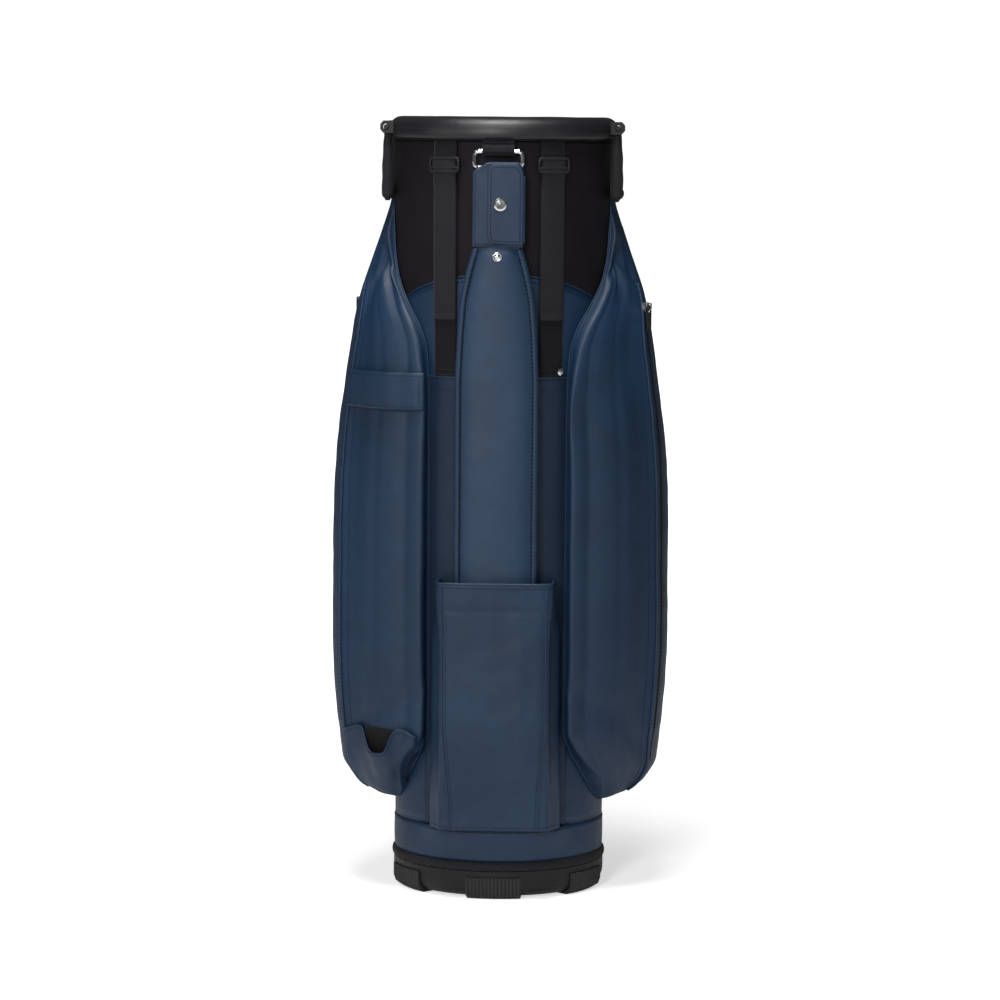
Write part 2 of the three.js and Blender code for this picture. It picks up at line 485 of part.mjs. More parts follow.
// ---------------------------------------------------------------- cuff webbings and their sliders
for (const side of [-1, 1]) {
  const tag = side < 0 ? 'left' : 'right';
  const phi = side * Math.asin(WEB_X / 125);
  add(`webbing_${tag}`, strip(2.6, 4.6, phi, WEB_W, 591, 855, 3, 4), webbing());
  // sliding buckle: a frame that the webbing passes through
  const o = strip(0.7, 7.6, phi, WEB_W + 8, 821, 835, 4, 1);
  const i = strip(2.1, 5.3, phi, WEB_W + 3, 815, 841, 4, 1);
  add(`tri_glide_${tag}`, cut(o, i), plastic());
}
{
  // eyelet rivet on the cover beside the strap
  const phi = 33 * deg, z = 598;
  const g = new THREE.LatheGeometry([
    new THREE.Vector2(0, 0), new THREE.Vector2(4, 0), new THREE.Vector2(4, 1.4), new THREE.Vector2(2.6, 2.2), new THREE.Vector2(0, 2.4),
  ], 16);
  // lathe axis (Y) turned to point outwards along -Y, then swung round by phi
  g.rotateX(Math.PI);
  g.translate(0, -(rc(z) + 5.0), 0);
  g.rotateZ(phi);
  g.translate(0, 0, z);
  add('panel_rivet', g, chrome());
}

// ---------------------------------------------------------------- side lift handles
for (const side of [-1, 1]) {
  const tag = side < 0 ? 'left' : 'right';
  const X = side * HANDLE_X, zb = HANDLE_Z - HANDLE_DROP;
  add(`handle_${tag}`, rod([
    [X, -51, HANDLE_Z], [X, -41, HANDLE_Z], [X, -41, zb], [X, 41, zb], [X, 41, HANDLE_Z], [X, 51, HANDLE_Z],
  ], 2.8, 4, 36, false, 7), blackLeather());
  for (const end of [-1, 1]) {
    // ear standing off the cuff with a bore for the handle's pin
    const y0 = end < 0 ? -50 : 45, y1 = end < 0 ? -45 : 50;
    const s = new THREE.Shape();
    const xi = 122.6;
    s.moveTo(xi, HANDLE_Z - 7); s.lineTo(HANDLE_X + 3, HANDLE_Z - 7); s.lineTo(HANDLE_X + 6.5, HANDLE_Z - 3); s.lineTo(HANDLE_X + 6.5, HANDLE_Z + 3);
    s.lineTo(HANDLE_X + 3, HANDLE_Z + 7); s.lineTo(xi, HANDLE_Z + 7); s.closePath();
    const h = new THREE.Path();
    for (let i = 0; i < 16; i++) {
      const a = -2 * Math.PI * i / 16, x = HANDLE_X + 3.5 * Math.cos(a), y = HANDLE_Z + 3.5 * Math.sin(a);
      if (i === 0) h.moveTo(x, y); else h.lineTo(x, y);
    }
    h.closePath(); s.holes.push(h);
    const g = warp(extrudeY(s, y0, y1), (x, y, z) => [side * x, y, z]);
    const cuff = lathe([[0, 850], [CUFF_R + 0.35, 850], [CUFF_R + 0.35, 900], [0, 900]], SEG * 2);
    add(`handle_ear_${tag}_${end < 0 ? 'back' : 'front'}`, cut(g, cuff), plastic());
  }
}

// ---------------------------------------------------------------- towel ring over the front pockets
{
  const zt = 720;
  const s = new THREE.Shape();
  const y0 = rc(700) + 0.9;
  s.moveTo(y0, zt - 8); s.lineTo(y0, zt + 22); s.lineTo(y0 + 3, zt + 22); s.lineTo(y0 + 3.6, zt + 7); s.lineTo(y0 + 11, zt + 6.5);
  s.lineTo(y0 + 12.6, zt + 3); s.lineTo(y0 + 12.6, zt - 4); s.lineTo(y0 + 10, zt - 8); s.closePath();
  const h = new THREE.Path();
  for (let i = 0; i < 16; i++) {
    const a = 2 * Math.PI * i / 16, x = y0 + 6.6 + 2.9 * Math.cos(a), y = zt + 2.9 * Math.sin(a);
    if (i === 0) h.moveTo(x, y); else h.lineTo(x, y);
  }
  h.closePath(); s.holes.push(h);
  add('towel_tab', extrudeX(s, 24), blackLeather());
  add('towel_ring', rod([
    [-19, y0 + 6.6, zt], [19, y0 + 6.6, zt], [19, y0 + 6.6, zt - 30], [-19, y0 + 6.6, zt - 30],
  ], 2.2, 5, 36, true, 7), chrome());
}

export default bag;
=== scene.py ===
# Golf staff bag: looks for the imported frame. Lengths below are in millimetres, turned to metres on the way out.
import bpy, math
import numpy as np
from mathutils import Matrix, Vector, noise


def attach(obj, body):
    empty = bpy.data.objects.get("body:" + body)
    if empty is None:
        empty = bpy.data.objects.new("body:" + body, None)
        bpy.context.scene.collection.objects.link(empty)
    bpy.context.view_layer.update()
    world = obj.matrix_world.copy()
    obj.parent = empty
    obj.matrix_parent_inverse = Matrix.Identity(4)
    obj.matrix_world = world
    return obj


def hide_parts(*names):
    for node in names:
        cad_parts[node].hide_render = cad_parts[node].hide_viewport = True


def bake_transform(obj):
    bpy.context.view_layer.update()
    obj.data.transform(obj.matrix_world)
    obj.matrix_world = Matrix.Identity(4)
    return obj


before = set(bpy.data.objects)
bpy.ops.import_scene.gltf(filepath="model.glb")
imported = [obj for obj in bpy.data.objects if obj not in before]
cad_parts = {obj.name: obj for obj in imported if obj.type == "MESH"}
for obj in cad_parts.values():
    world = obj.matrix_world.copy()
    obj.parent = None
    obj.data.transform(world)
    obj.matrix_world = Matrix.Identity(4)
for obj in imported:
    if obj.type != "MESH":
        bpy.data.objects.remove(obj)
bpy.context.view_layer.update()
scene = bpy.context.scene
D = math.pi / 180
BAG = "bag"

# ------------------------------------------------------------------ materials
def newmat(name):
    m = bpy.data.materials.new(name); m.use_nodes = True
    nt = m.node_tree; b = nt.nodes["Principled BSDF"]
    return m, nt, b
def node(nt, kind, **kw):
    n = nt.nodes.new(kind)
    for k, v in kw.items():
        if k in n.inputs: n.inputs[k].default_value = v
        else: setattr(n, k, v)
    return n
def mapped(nt, scale=(1, 1, 1)):
    tc = node(nt, "ShaderNodeTexCoord"); mp = node(nt, "ShaderNodeMapping")
    mp.inputs["Scale"].default_value = scale
    nt.links.new(tc.outputs["Object"], mp.inputs["Vector"]); return mp.outputs["Vector"]
def ramp(nt, fac, stops):
    r = node(nt, "ShaderNodeValToRGB"); e = r.color_ramp.elements
    while len(e) < len(stops): e.new(0.5)
    for k, (p, c) in enumerate(stops):
        e[k].position = p; e[k].color = (*c, 1) if len(c) == 3 else c
    nt.links.new(fac, r.inputs["Fac"]); return r.outputs["Color"]
def noisetex(nt, vec, scale, detail=3, rough=0.5):
    n = node(nt, "ShaderNodeTexNoise", Scale=scale, Detail=detail, Roughness=rough)
    nt.links.new(vec, n.inputs["Vector"]); return n.outputs["Fac"]
def voro(nt, vec, scale, feature="F1"):
    n = node(nt, "ShaderNodeTexVoronoi", Scale=scale); n.feature = feature
    nt.links.new(vec, n.inputs["Vector"]); return n.outputs["Distance"]
def mathn(nt, op, a, b=None):
    n = node(nt, "ShaderNodeMath"); n.operation = op
    for k, v in enumerate((a, b)):
        if v is None: continue
        if isinstance(v, (int, float)): n.inputs[k].default_value = v
        else: nt.links.new(v, n.inputs[k])
    return n.outputs[0]
def bump(nt, b, h, strength, dist, prev=None):
    n = node(nt, "ShaderNodeBump", Strength=strength, Distance=dist)
    nt.links.new(h, n.inputs["Height"])
    if prev is not None: nt.links.new(prev, n.inputs["Normal"])
    nt.links.new(n.outputs["Normal"], b.inputs["Normal"]); return n.outputs["Normal"]

def leather(name, dark, mid, light, rough=0.42, grain=620, spec=0.26):
    m, nt, b = newmat(name); v = mapped(nt)
    cells = voro(nt, v, grain, "DISTANCE_TO_EDGE"); fine = noisetex(nt, v, 1500, 2)
    cloud = noisetex(nt, v, 9, 4, 0.6); crease = noisetex(nt, v, 55, 5, 0.65)
    mix = mathn(nt, "ADD", mathn(nt, "MULTIPLY", cloud, 0.75), mathn(nt, "MULTIPLY", crease, 0.25))
    nt.links.new(ramp(nt, mix, [(0.34, dark), (0.5, mid), (0.68, light)]), b.inputs["Base Color"])
    rr = ramp(nt, mathn(nt, "ADD", mathn(nt, "MULTIPLY", crease, 0.6), mathn(nt, "MULTIPLY", cells, 0.8)), [(0.25, (rough + 0.12,) * 3), (0.7, (rough - 0.04,) * 3)])
    nt.links.new(rr, b.inputs["Roughness"])
    b.inputs["Specular IOR Level"].default_value = spec
    pebble = ramp(nt, cells, [(0.0, (0, 0, 0)), (0.16, (1, 1, 1))])
    n1 = bump(nt, b, crease, 0.10, 0.0012)
    n2 = bump(nt, b, pebble, 0.22, 0.00022, n1)
    bump(nt, b, fine, 0.05, 0.00012, n2)
    return m
NAVY = leather("navy_leather", (0.0024, 0.0150, 0.040), (0.0032, 0.0190, 0.049), (0.0044, 0.0240, 0.059), 0.45, spec=0.37)
PANEL = leather("navy_panel", (0.0040, 0.0125, 0.0285), (0.0053, 0.0155, 0.0350), (0.0070, 0.0192, 0.0425), 0.50, spec=0.30)
PADM = leather("navy_pad", (0.0036, 0.0190, 0.0480), (0.0048, 0.0238, 0.0585), (0.0062, 0.0300, 0.0700), 0.45, spec=0.42)
BLACK = leather("black_leather", (0.0060, 0.0048, 0.0060), (0.0080, 0.0064, 0.0080), (0.0108, 0.0086, 0.0106), 0.52, spec=0.10)
CUFFM = leather("cuff_leather", (0.0045, 0.0047, 0.0058), (0.006, 0.0062, 0.0075), (0.008, 0.0084, 0.0100), 0.36, spec=0.46)

def woven(name, c0, c1, pitch=1.1, axis="Z"):
    # ribs of a narrow woven band: rows across, with a finer twill inside
    m, nt, b = newmat(name); v = mapped(nt)
    w = node(nt, "ShaderNodeTexWave", Scale=1000 / pitch / 6.283 * 2, Distortion=0.4); w.bands_direction = axis
    nt.links.new(v, w.inputs["Vector"])
    d = node(nt, "ShaderNodeTexWave", Scale=1000 / pitch / 6.283 * 1.6, Distortion=0.6); d.bands_direction = "DIAGONAL"
    nt.links.new(v, d.inputs["Vector"])
    f = noisetex(nt, v, 900, 2)
    h = mathn(nt, "ADD", mathn(nt, "MULTIPLY", w.outputs["Fac"], 0.6), mathn(nt, "MULTIPLY", d.outputs["Fac"], 0.4))
    nt.links.new(ramp(nt, mathn(nt, "ADD", mathn(nt, "MULTIPLY", h, 0.7), mathn(nt, "MULTIPLY", f, 0.3)), [(0.2, c0), (0.8, c1)]), b.inputs["Base Color"])
    b.inputs["Roughness"].default_value = 0.78; b.inputs["Specular IOR Level"].default_value = 0.14; b.inputs["Sheen Weight"].default_value = 0.06
    b.inputs["Sheen Roughness"].default_value = 0.4
    bump(nt, b, h, 0.55, 0.0004)
    return m
WEB = woven("webbing_weave", (0.006, 0.006, 0.007), (0.022, 0.021, 0.024))
WEBD = woven("webbing_weave_dark", (0.003, 0.003, 0.004), (0.009, 0.009, 0.011))
LINING = woven("lining_weave", (0.004, 0.004, 0.0045), (0.012, 0.012, 0.013), 0.8)

def plastic(name, col, rough, grain=0.12):
    m, nt, b = newmat(name); v = mapped(nt)
    f = noisetex(nt, v, 700, 3); c = noisetex(nt, v, 14, 3)
    nt.links.new(ramp(nt, c, [(0.3, tuple(x * 0.85 for x in col)), (0.7, tuple(x * 1.2 for x in col))]), b.inputs["Base Color"])
    nt.links.new(ramp(nt, c, [(0.3, (rough - 0.05,) * 3), (0.7, (rough + 0.07,) * 3)]), b.inputs["Roughness"])
    bump(nt, b, f, grain, 0.00025); b.inputs["Specular IOR Level"].default_value = 0.22
    return m
PLASTIC = plastic("moulded_plastic", (0.0105, 0.0095, 0.011), 0.42)
BOARD = plastic("tube_board", (0.008, 0.008, 0.009), 0.6)

def rubber():
    # ribbed pad: upright ribs round the foot ring
    m, nt, b = newmat("foot_rubber"); v = mapped(nt)
    sx = node(nt, "ShaderNodeSeparateXYZ"); nt.links.new(v, sx.inputs[0])
    a = mathn(nt, "ARCTAN2", sx.outputs[0], sx.outputs[1])
    ribs = mathn(nt, "SINE", mathn(nt, "MULTIPLY", a, 180.0))
    nt.links.new(ramp(nt, mathn(nt, "MULTIPLY_ADD", ribs, 0.5), [(0.2, (0.003, 0.003, 0.0035)), (0.7, (0.017, 0.0155, 0.0175))]), b.inputs["Base Color"])
    b.inputs["Roughness"].default_value = 0.72
    n1 = bump(nt, b, ribs, 0.8, 0.0009); bump(nt, b, noisetex(nt, v, 900, 2), 0.2, 0.0002, n1)
    return m
RUBBER = rubber()
def metal(name, col, rough):
    m, nt, b = newmat(name); v = mapped(nt)
    c = noisetex(nt, v, 120, 4); s = noisetex(nt, v, 2200, 2)
    nt.links.new(ramp(nt, c, [(0.3, tuple(x * 0.9 for x in col)), (0.7, col)]), b.inputs["Base Color"])
    nt.links.new(ramp(nt, c, [(0.3, (rough,) * 3), (0.75, (rough + 0.1,) * 3)]), b.inputs["Roughness"])
    b.inputs["Metallic"].default_value = 1.0
    bump(nt, b, s, 0.05, 0.0001)
    return m
CHROME = metal("bright_metal", (0.80, 0.81, 0.83), 0.10)
THREAD_N = woven("thread_navy", (0.002, 0.010, 0.030), (0.008, 0.026, 0.066), 0.5)
THREAD_D = woven("thread_dark", (0.0006, 0.002, 0.006), (0.0016, 0.005, 0.014), 0.5)
TEETH = metal("zip_teeth", (0.035, 0.036, 0.04), 0.35)
THREAD_B = woven("thread_black", (0.010, 0.010, 0.012), (0.034, 0.033, 0.037), 0.5)

# ------------------------------------------------------------------ mesh helpers
def mesh_object(name, verts, faces, mat, body=BAG, smooth=True):
    me = bpy.data.meshes.new(name)
    me.from_pydata([tuple(v) for v in np.asarray(verts, float) * 0.001], [], faces)
    me.validate(); me.update()
    if smooth:
        for p in me.polygons: p.use_smooth = True
    me.materials.append(mat)
    o = bpy.data.objects.new(name, me); scene.collection.objects.link(o)
    if body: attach(o, body)
    return o
def grid_normals(G, closed):
    du = np.roll(G, -1, 0) - np.roll(G, 1, 0) if closed else np.gradient(G, axis=0)
    dv = np.gradient(G, axis=1)
    n = np.cross(du, dv); l = np.linalg.norm(n, axis=2, keepdims=True); l[l < 1e-9] = 1
    return n / l
def surf(name, f, nu, nv, thick, mat, closed=False, body=BAG, flip=False, us=None, vs=None):
    """A closed skin: f(u, v) gives its outer face, u and v in 0..1; the inner face lies thick mm behind."""
    us = np.linspace(0, 1, nu, endpoint=not closed) if us is None else np.array(us)
    vs = np.linspace(0, 1, nv) if vs is None else np.array(vs)
    nu, nv = len(us), len(vs)
    G = np.array([[f(u, v) for v in vs] for u in us], float)
    n = grid_normals(G, closed)
    # the outer side is the one that looks away from the bag's axis, turned round when flip is set
    c = G.reshape(-1, 3); mid = c.mean(0); radial = G - np.array([0, 0, mid[2]]); radial[..., 2] = 0
    if (np.sum(n * radial) < 0) != flip: n = -n; inv = True
    else: inv = False
    th = thick(us[:, None], vs[None, :])[..., None] if callable(thick) else thick
    I = G - n * th
    V = np.concatenate([G.reshape(-1, 3), I.reshape(-1, 3)]); N = nu * nv
    F = []
    last = nu if closed else nu - 1
    ix = lambda a, b, k=0: (a % nu) * nv + b + k * N
    for a in range(last):
        for b in range(nv - 1):
            F.append((ix(a, b), ix(a + 1, b), ix(a + 1, b + 1), ix(a, b + 1)))
            F.append((ix(a, b + 1, 1), ix(a + 1, b + 1, 1), ix(a + 1, b, 1), ix(a, b, 1)))
        F.append((ix(a + 1, 0), ix(a, 0), ix(a, 0, 1), ix(a + 1, 0, 1)))
        F.append((ix(a, nv - 1), ix(a + 1, nv - 1), ix(a + 1, nv - 1, 1), ix(a, nv - 1, 1)))
    if not closed:
        for b in range(nv - 1):
            F.append((ix(0, b), ix(0, b + 1), ix(0, b + 1, 1), ix(0, b, 1)))
            F.append((ix(nu - 1, b + 1), ix(nu - 1, b), ix(nu - 1, b, 1), ix(nu - 1, b + 1, 1)))
    if inv: F = [t[::-1] for t in F]
    return mesh_object(name, V, F, mat, body)
def trace(f, path, off=0.0, centre=None):
    """Points of f along a (u, v) path, off mm above the surface, and the normals there."""
    P, N = [], []
    e = 1e-3
    for u, v in path:
        p = np.array(f(u, v), float)
        a = np.array(f(min(1, u + e), v), float) - np.array(f(max(0, u - e), v), float)
        b = np.array(f(u, min(1, v + e)), float) - np.array(f(u, max(0, v - e)), float)
        n = np.cross(a, b); l = np.linalg.norm(n); n = n / l if l > 1e-12 else np.array([0, -1, 0])
        r = p - (np.array([0, 0, p[2]]) if centre is None else np.array(centre))
        if n @ r < 0: n = -n
        P.append(p + n * off); N.append(n)
    return np.array(P), np.array(N)
def resample(P, step, N=None):
    P = np.asarray(P, float); d = np.r_[0, np.cumsum(np.linalg.norm(np.diff(P, axis=0), axis=1))]
    k = max(2, int(round(d[-1] / step)) + 1); s = np.linspace(0, d[-1], k)
    Q = np.stack([np.interp(s, d, P[:, i]) for i in range(3)], 1)
    if N is None: return Q
    M = np.stack([np.interp(s, d, np.asarray(N)[:, i]) for i in range(3)], 1)
    return Q, M / np.linalg.norm(M, axis=1, keepdims=True)
def sweep_arrays(P, r, sides=8, closed=False, flat=1.0, up=None):
    P = np.asarray(P, float); n = len(P)
    T = (np.roll(P, -1, 0) - np.roll(P, 1, 0)) if closed else np.gradient(P, axis=0)
    T /= np.linalg.norm(T, axis=1, keepdims=True) + 1e-12
    V, F = [], []
    ref = np.array(up if up is not None else ([0, 0, 1] if abs(T[0][2]) < 0.9 else [0, 1, 0]), float)
    for i in range(n):
        u = up[i] if (up is not None and np.ndim(up) == 2) else ref
        b = np.cross(T[i], u); b /= np.linalg.norm(b) + 1e-12; c = np.cross(b, T[i])
        if up is None: ref = c
        for k in range(sides):
            a = 2 * math.pi * k / sides
            V.append(P[i] + r * math.cos(a) * b + r * flat * math.sin(a) * c)
    for i in range(n if closed else n - 1):
        for k in range(sides):
            j = (i + 1) % n; l = (k + 1) % sides
            F.append((i * sides + k, i * sides + l, j * sides + l, j * sides + k))
    if not closed:
        F.append(tuple(range(sides))[::-1]); F.append(tuple((n - 1) * sides + k for k in range(sides)))
    return V, F
def piping(name, P, r, mat, body=BAG, closed=False, sides=8, step=3.0):
    if not closed: P = resample(P, step)
    V, F = sweep_arrays(P, r, sides, closed)
    return mesh_object(name, V, F, mat, body)
def stitches(name, runs, mat, body=BAG, pitch=4.4, length=3.1, w=0.42):
    """Thread laid in runs of (points, normals): a short rounded stitch dips in at each end."""
    V, F = [], []
    for P, N in runs:
        P, N = resample(P, pitch, N)
        for i in range(len(P) - 1):
            t = P[i + 1] - P[i]; L = np.linalg.norm(t)
            if L < 1e-6: continue
            t /= L; n = (N[i] + N[i + 1]) / 2; s = np.cross(n, t); m0 = (P[i] + P[i + 1]) / 2; b0 = len(V)
            for q, (k, h, ww) in enumerate(((-0.5, -0.35, 0.5), (-0.3, 0.3, 1), (0.3, 0.3, 1), (0.5, -0.35, 0.5))):
                c = m0 + t * k * length + n * h * w
                for a in range(5):
                    g = 2 * math.pi * a / 5
                    V.append(c + s * w * ww * math.cos(g) + n * w * ww * math.sin(g))
            for q in range(3):
                for a in range(5):
                    z = (a + 1) % 5
                    F.append((b0 + q * 5 + a, b0 + q * 5 + z, b0 + q * 5 + 5 + z, b0 + q * 5 + 5 + a))
            F.append(tuple(b0 + a for a in range(5))[::-1]); F.append(tuple(b0 + 15 + a for a in range(5)))
    return mesh_object(name, V, F, mat, body)
def sm(a, b, x):
    k = min(1.0, max(0.0, (x - a) / (b - a))); return k * k * (3 - 2 * k)
def tab(t, x):
    return float(np.interp(x, [p[0] for p in t], [p[1] for p in t]))
def smooth_tab(t, lo, hi, k=5, n=400):
    x = np.linspace(lo, hi, n); y = np.interp(x, [p[0] for p in t], [p[1] for p in t])
    w = max(1, int(n * k / (hi - lo))); ker = np.hanning(2 * w + 3); ker /= ker.sum()
    y = np.convolve(np.pad(y, w + 1, mode="edge"), ker, mode="valid")
    return lambda q: float(np.interp(q, x, y))
def nz(x, y, z, s, seed=0.0):
    return noise.noise(Vector((x * s + seed, y * s + seed * 1.7, z * s - seed)))
def polar(r, phi, z): return (r * math.sin(phi), -r * math.cos(phi), z)
def rc(z): return 119.3 + 5.5 * min(1, max(0, (z - 43) / 747))

# ------------------------------------------------------------------ covers on the tube
def rc_v(z): return 119.3 + 5.5 * min(1, max(0, (z - 43) / 747))
TAU = 2 * math.pi
def dimple(phi, z, amp=0.35):
    return amp * nz(120 * math.cos(phi), 120 * math.sin(phi), z, 0.012, 3.1)
def body_top(phi):
    p = abs((phi + math.pi) % TAU - math.pi)
    return 706 - 27 * min(1.0, p / (58 * D)) ** 2.2
def body_f(u, v):
    phi = u * TAU; z = 81.5 + v * (body_top(phi) - 81.5)
    return polar(rc_v(z) + dimple(phi, z) - 0.9 * max(0, 1 - (body_top(phi) - z) / 1.5), phi, z)
o = surf("body_cover_skin", body_f, 120, 60, 1.6, NAVY, closed=True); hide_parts("body_cover")
def upper_f(u, v):
    phi = u * TAU; z = 672 + v * (855.5 - 672)
    return polar(rc_v(z) - 0.9 + 0.6 * dimple(phi, z) + 0.7 * sm(700, 712, z), phi, z)
o = surf("upper_cover_skin", upper_f, 120, 40, 1.3, BLACK, closed=True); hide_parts("upper_cover")
# bound edge and stitch row where the two covers meet
P, N = trace(body_f, [(u, 1.0) for u in np.linspace(0, 1, 160)], 0.2)
piping("cover_edge_fold", P[:-1], 0.9, NAVY, closed=True)
P, N = trace(body_f, [(u, 1 - 5.0 / (body_top(u * TAU) - 81.5)) for u in np.linspace(0, 1, 160)], 0.05)
stitches("cover_edge_stitches", [(P, N)], THREAD_N)

def band_f(u, v):
    phi = u * TAU; z = 42.9 + v * (81.6 - 42.9)
    p = ((phi + math.pi) % TAU - math.pi) / D
    over = 8.5 * sm(46, 80, z) * sm(47, 31, abs(p))
    return polar(119.7 + over + 0.8 * math.sin(math.pi * v) ** 0.6 + 0.5 * dimple(phi, z), phi, z)
o = surf("base_band_skin", band_f, 144, 12, 1.8, NAVY, closed=True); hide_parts("base_band")
P, N = trace(band_f, [(u, 0.9) for u in np.linspace(0, 1, 200)], 0.05)
stitches("base_band_stitches", [(P, N)], THREAD_N)
piping("base_band_seam", [polar(120.4, 25 * D, z) for z in np.linspace(43.5, 81, 12)], 0.6, NAVY)
piping("base_band_seam_back", [polar(120.4, 205 * D, z) for z in np.linspace(43.5, 81, 12)], 0.6, NAVY)
def pip_f(u, v):
    phi = u * TAU; a = (v - 0.5) * math.pi
    return polar(119.2 + 3.6 * math.cos(a) ** 0.6 if abs(v - 0.5) < 0.499 else 119.2, phi, 37.5 + 4.9 * math.sin(a))
o = surf("base_piping_skin", pip_f, 144, 11, 1.2, WEB, closed=True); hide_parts("base_piping")

# ------------------------------------------------------------------ padded cuff
CUFF = [(108.4, 856.6), (116, 856.0), (126.5, 856.0), (130.0, 857.0), (131.6, 859.8), (132.0, 864), (131.0, 869), (128.8, 873.8), (125.2, 878.0),
        (120.6, 880.6), (116.0, 881.2), (112.4, 879.8), (109.8, 876.2), (108.6, 871), (108.2, 865)]
def cuff_f(u, v):
    phi = u * TAU; n = len(CUFF) - 1; k = min(n - 1e-6, v * n); i = int(k); f = k - i
    p = np.array(CUFF[i]) * (1 - f) + np.array(CUFF[i + 1]) * f
    puff = 0.35 * nz(40 * math.cos(phi), 40 * math.sin(phi), p[1] * 0.5, 0.06, 1.0)
    seam = 0
    for s in (45, 135, 225, 315):
        d = (math.degrees(phi) - s + 180) % 360 - 180
        seam += 0.9 * math.exp(-(d / 0.7) ** 2)
    c = np.array([119.5, 867.5]); q = p - c; q *= 1 + (puff - seam) / np.linalg.norm(q)
    p = c + q
    return polar(p[0], phi, p[1])
G = 180; M = 46
V = []; F = []
for a in range(G):
    for b in range(M):
        V.append(cuff_f(a / G, b / M))
CN = len(CUFF)
# the profile is closed by its own last stretch
for a in range(G):
    for b in range(M):
        c = (b + 1) % M; e = (a + 1) % G
        F.append((a * M + b, e * M + b, e * M + c, a * M + c))
o = mesh_object("top_cuff_padded", V, F, CUFFM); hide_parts("top_cuff")
def cuff_line(z, r): return [polar(r, u, z) for u in np.linspace(0, TAU, 240)]
P = np.array(cuff_line(860.4, 131.35)); stitches("cuff_stitches", [(P, np.array([p * [1, 1, 0] / np.linalg.norm(p[:2]) for p in P]))], THREAD_B)
piping("cuff_welt", [polar(128.6, u, 855.9) for u in np.linspace(0, TAU, 180)][:-1], 1.1, BLACK, closed=True)

# ------------------------------------------------------------------ long apparel pockets
HALF = smooth_tab([(100, 126), (103, 132), (109, 150), (120, 166), (143, 181), (190, 187), (235, 190.5), (281, 192.5), (327, 193), (420, 193), (465, 191.5), (511, 188.5),
    (557, 184), (603, 178), (626, 174), (650, 170), (672, 165), (689, 160), (707, 153.5), (725, 147), (744, 140.5), (762, 134.5), (780, 129), (790, 127)], 100, 790, 9, 900)
ARC = smooth_tab([(100, 12), (103, 16), (110, 22.5), (125, 31), (150, 39), (185, 46), (625, 46.5), (650, 42.5), (672, 34), (700, 23), (725, 17), (760, 13.5), (790, 10)], 100, 790, 14, 900)
SEC = smooth_tab([(0, 1), (0.2, 0.985), (0.34, 0.93), (0.48, 0.6), (0.645, 0.3), (0.82, 0.13), (1, 0)], 0, 1, 0.03, 300)
BULGE = smooth_tab([(0, 0), (0.30, 0), (0.40, 0.06), (0.48, 0.17), (0.58, 0.31), (0.68, 0.37), (0.78, 0.36), (0.9, 0.29), (1, 0.27)], 0, 1, 0.03, 300)
SPREAD = smooth_tab([(100, 0), (135, 0.5), (165, 4), (185, 5.2), (560, 5.2), (600, 4.6), (630, 3.2), (660, 1.0), (690, 0), (790, 0)], 100, 790, 10, 500)
ROLL0 = 0.87
def zp(v): return 102 + 687.5 * v
def pocket_f(side, seed):
    def f(u, v):
        z = zp(v); t = 2 * u - 1; at = abs(t); strap = t < 0
        base = rc_v(z) + 0.4; h = max(0.0, HALF(z) - base); fade = sm(789, 745, z) * sm(101, 128, z)
        # q runs from the end of the face (0) over the rolled edge to the seam on the tube (1)
        q = max(0.0, (at - ROLL0) / (1 - ROLL0)); face = min(at, ROLL0)
        lip = (14.5 if strap else 8.0) * fade * (0.72 + 0.28 * sm(700, 600, z))
        r0 = max(h * (SEC(face) + (0.85 if strap else 0.6) * BULGE(face)), lip + 0.5 * (ROLL0 - face) * h * 0.6)
        turn = q * math.pi * 0.5
        r = base + r0 * (math.cos(turn) ** 0.8 if q > 0 else 1.0)
        arc = ARC(z)
        ang = t * arc
        if strap:
            ang -= SPREAD(z) * sm(0.35, 0.86, at)
            ang -= (4.6 * fade * sm(650, 560, z) + 1.2 * fade) * sm(130, 190, z) * math.sin(min(1.0, q * 1.15) * math.pi) ** 0.8
        phi = side * (90 + ang) * D
        x, y, _ = polar(r, phi, z)
        w = (1 - q ** 2) * min(1, h / 26)
        k = 2.4 * nz(x, y, z, 0.006, seed) + 1.1 * nz(x, y, z * 0.5, 0.02, seed + 5) + 0.5 * nz(x * 0.6, y * 0.6, z, 0.05, seed + 9)
        # a pinch beside the cuff, with soft pulls that fan down from it
        d = math.hypot((at - 0.80) * 70, (z - 722) * 0.55)
        k -= 5.5 * math.exp(-(d / 13) ** 2) * sm(0.5, 0.7, at)
        th = math.atan2(722 - z, (0.80 - at) * 95)
        reach = math.exp(-((722 - z) / 120) ** 2) * sm(0, 26, 722 - z) * sm(1, 0.93, at) * sm(0.3, 0.45, at)
        k += (4.2 if side < 0 else 3.0) * reach * math.sin(7.0 * th + seed)
        k -= 3.4 * math.exp(-((z - (620 - 150 * (at - 0.4))) / 34) ** 2) * sm(0.4, 0.6, at) * sm(1, 0.9, at) * (1 if side > 0 else 0.35)
        # the lower edge is gathered where the bottom panel is sewn in
        low = math.exp(-((z - (232 - 90 * (0.9 - at))) / 16) ** 2) * sm(0.4, 0.55, at)
        k -= 2.6 * low * (1.0 if strap else 0.5)
        k += 1.1 * math.sin(z * 0.12 + 9 * t) * sm(230, 150, z) * sm(0.34, 0.5, at) * sm(1, 0.9, at)
        r2 = r + (k * w if k < 0 else 1.8 * (1 - math.exp(-k * w / 1.8)))
        return polar(r2, phi, z)
    return f
POCK = {}
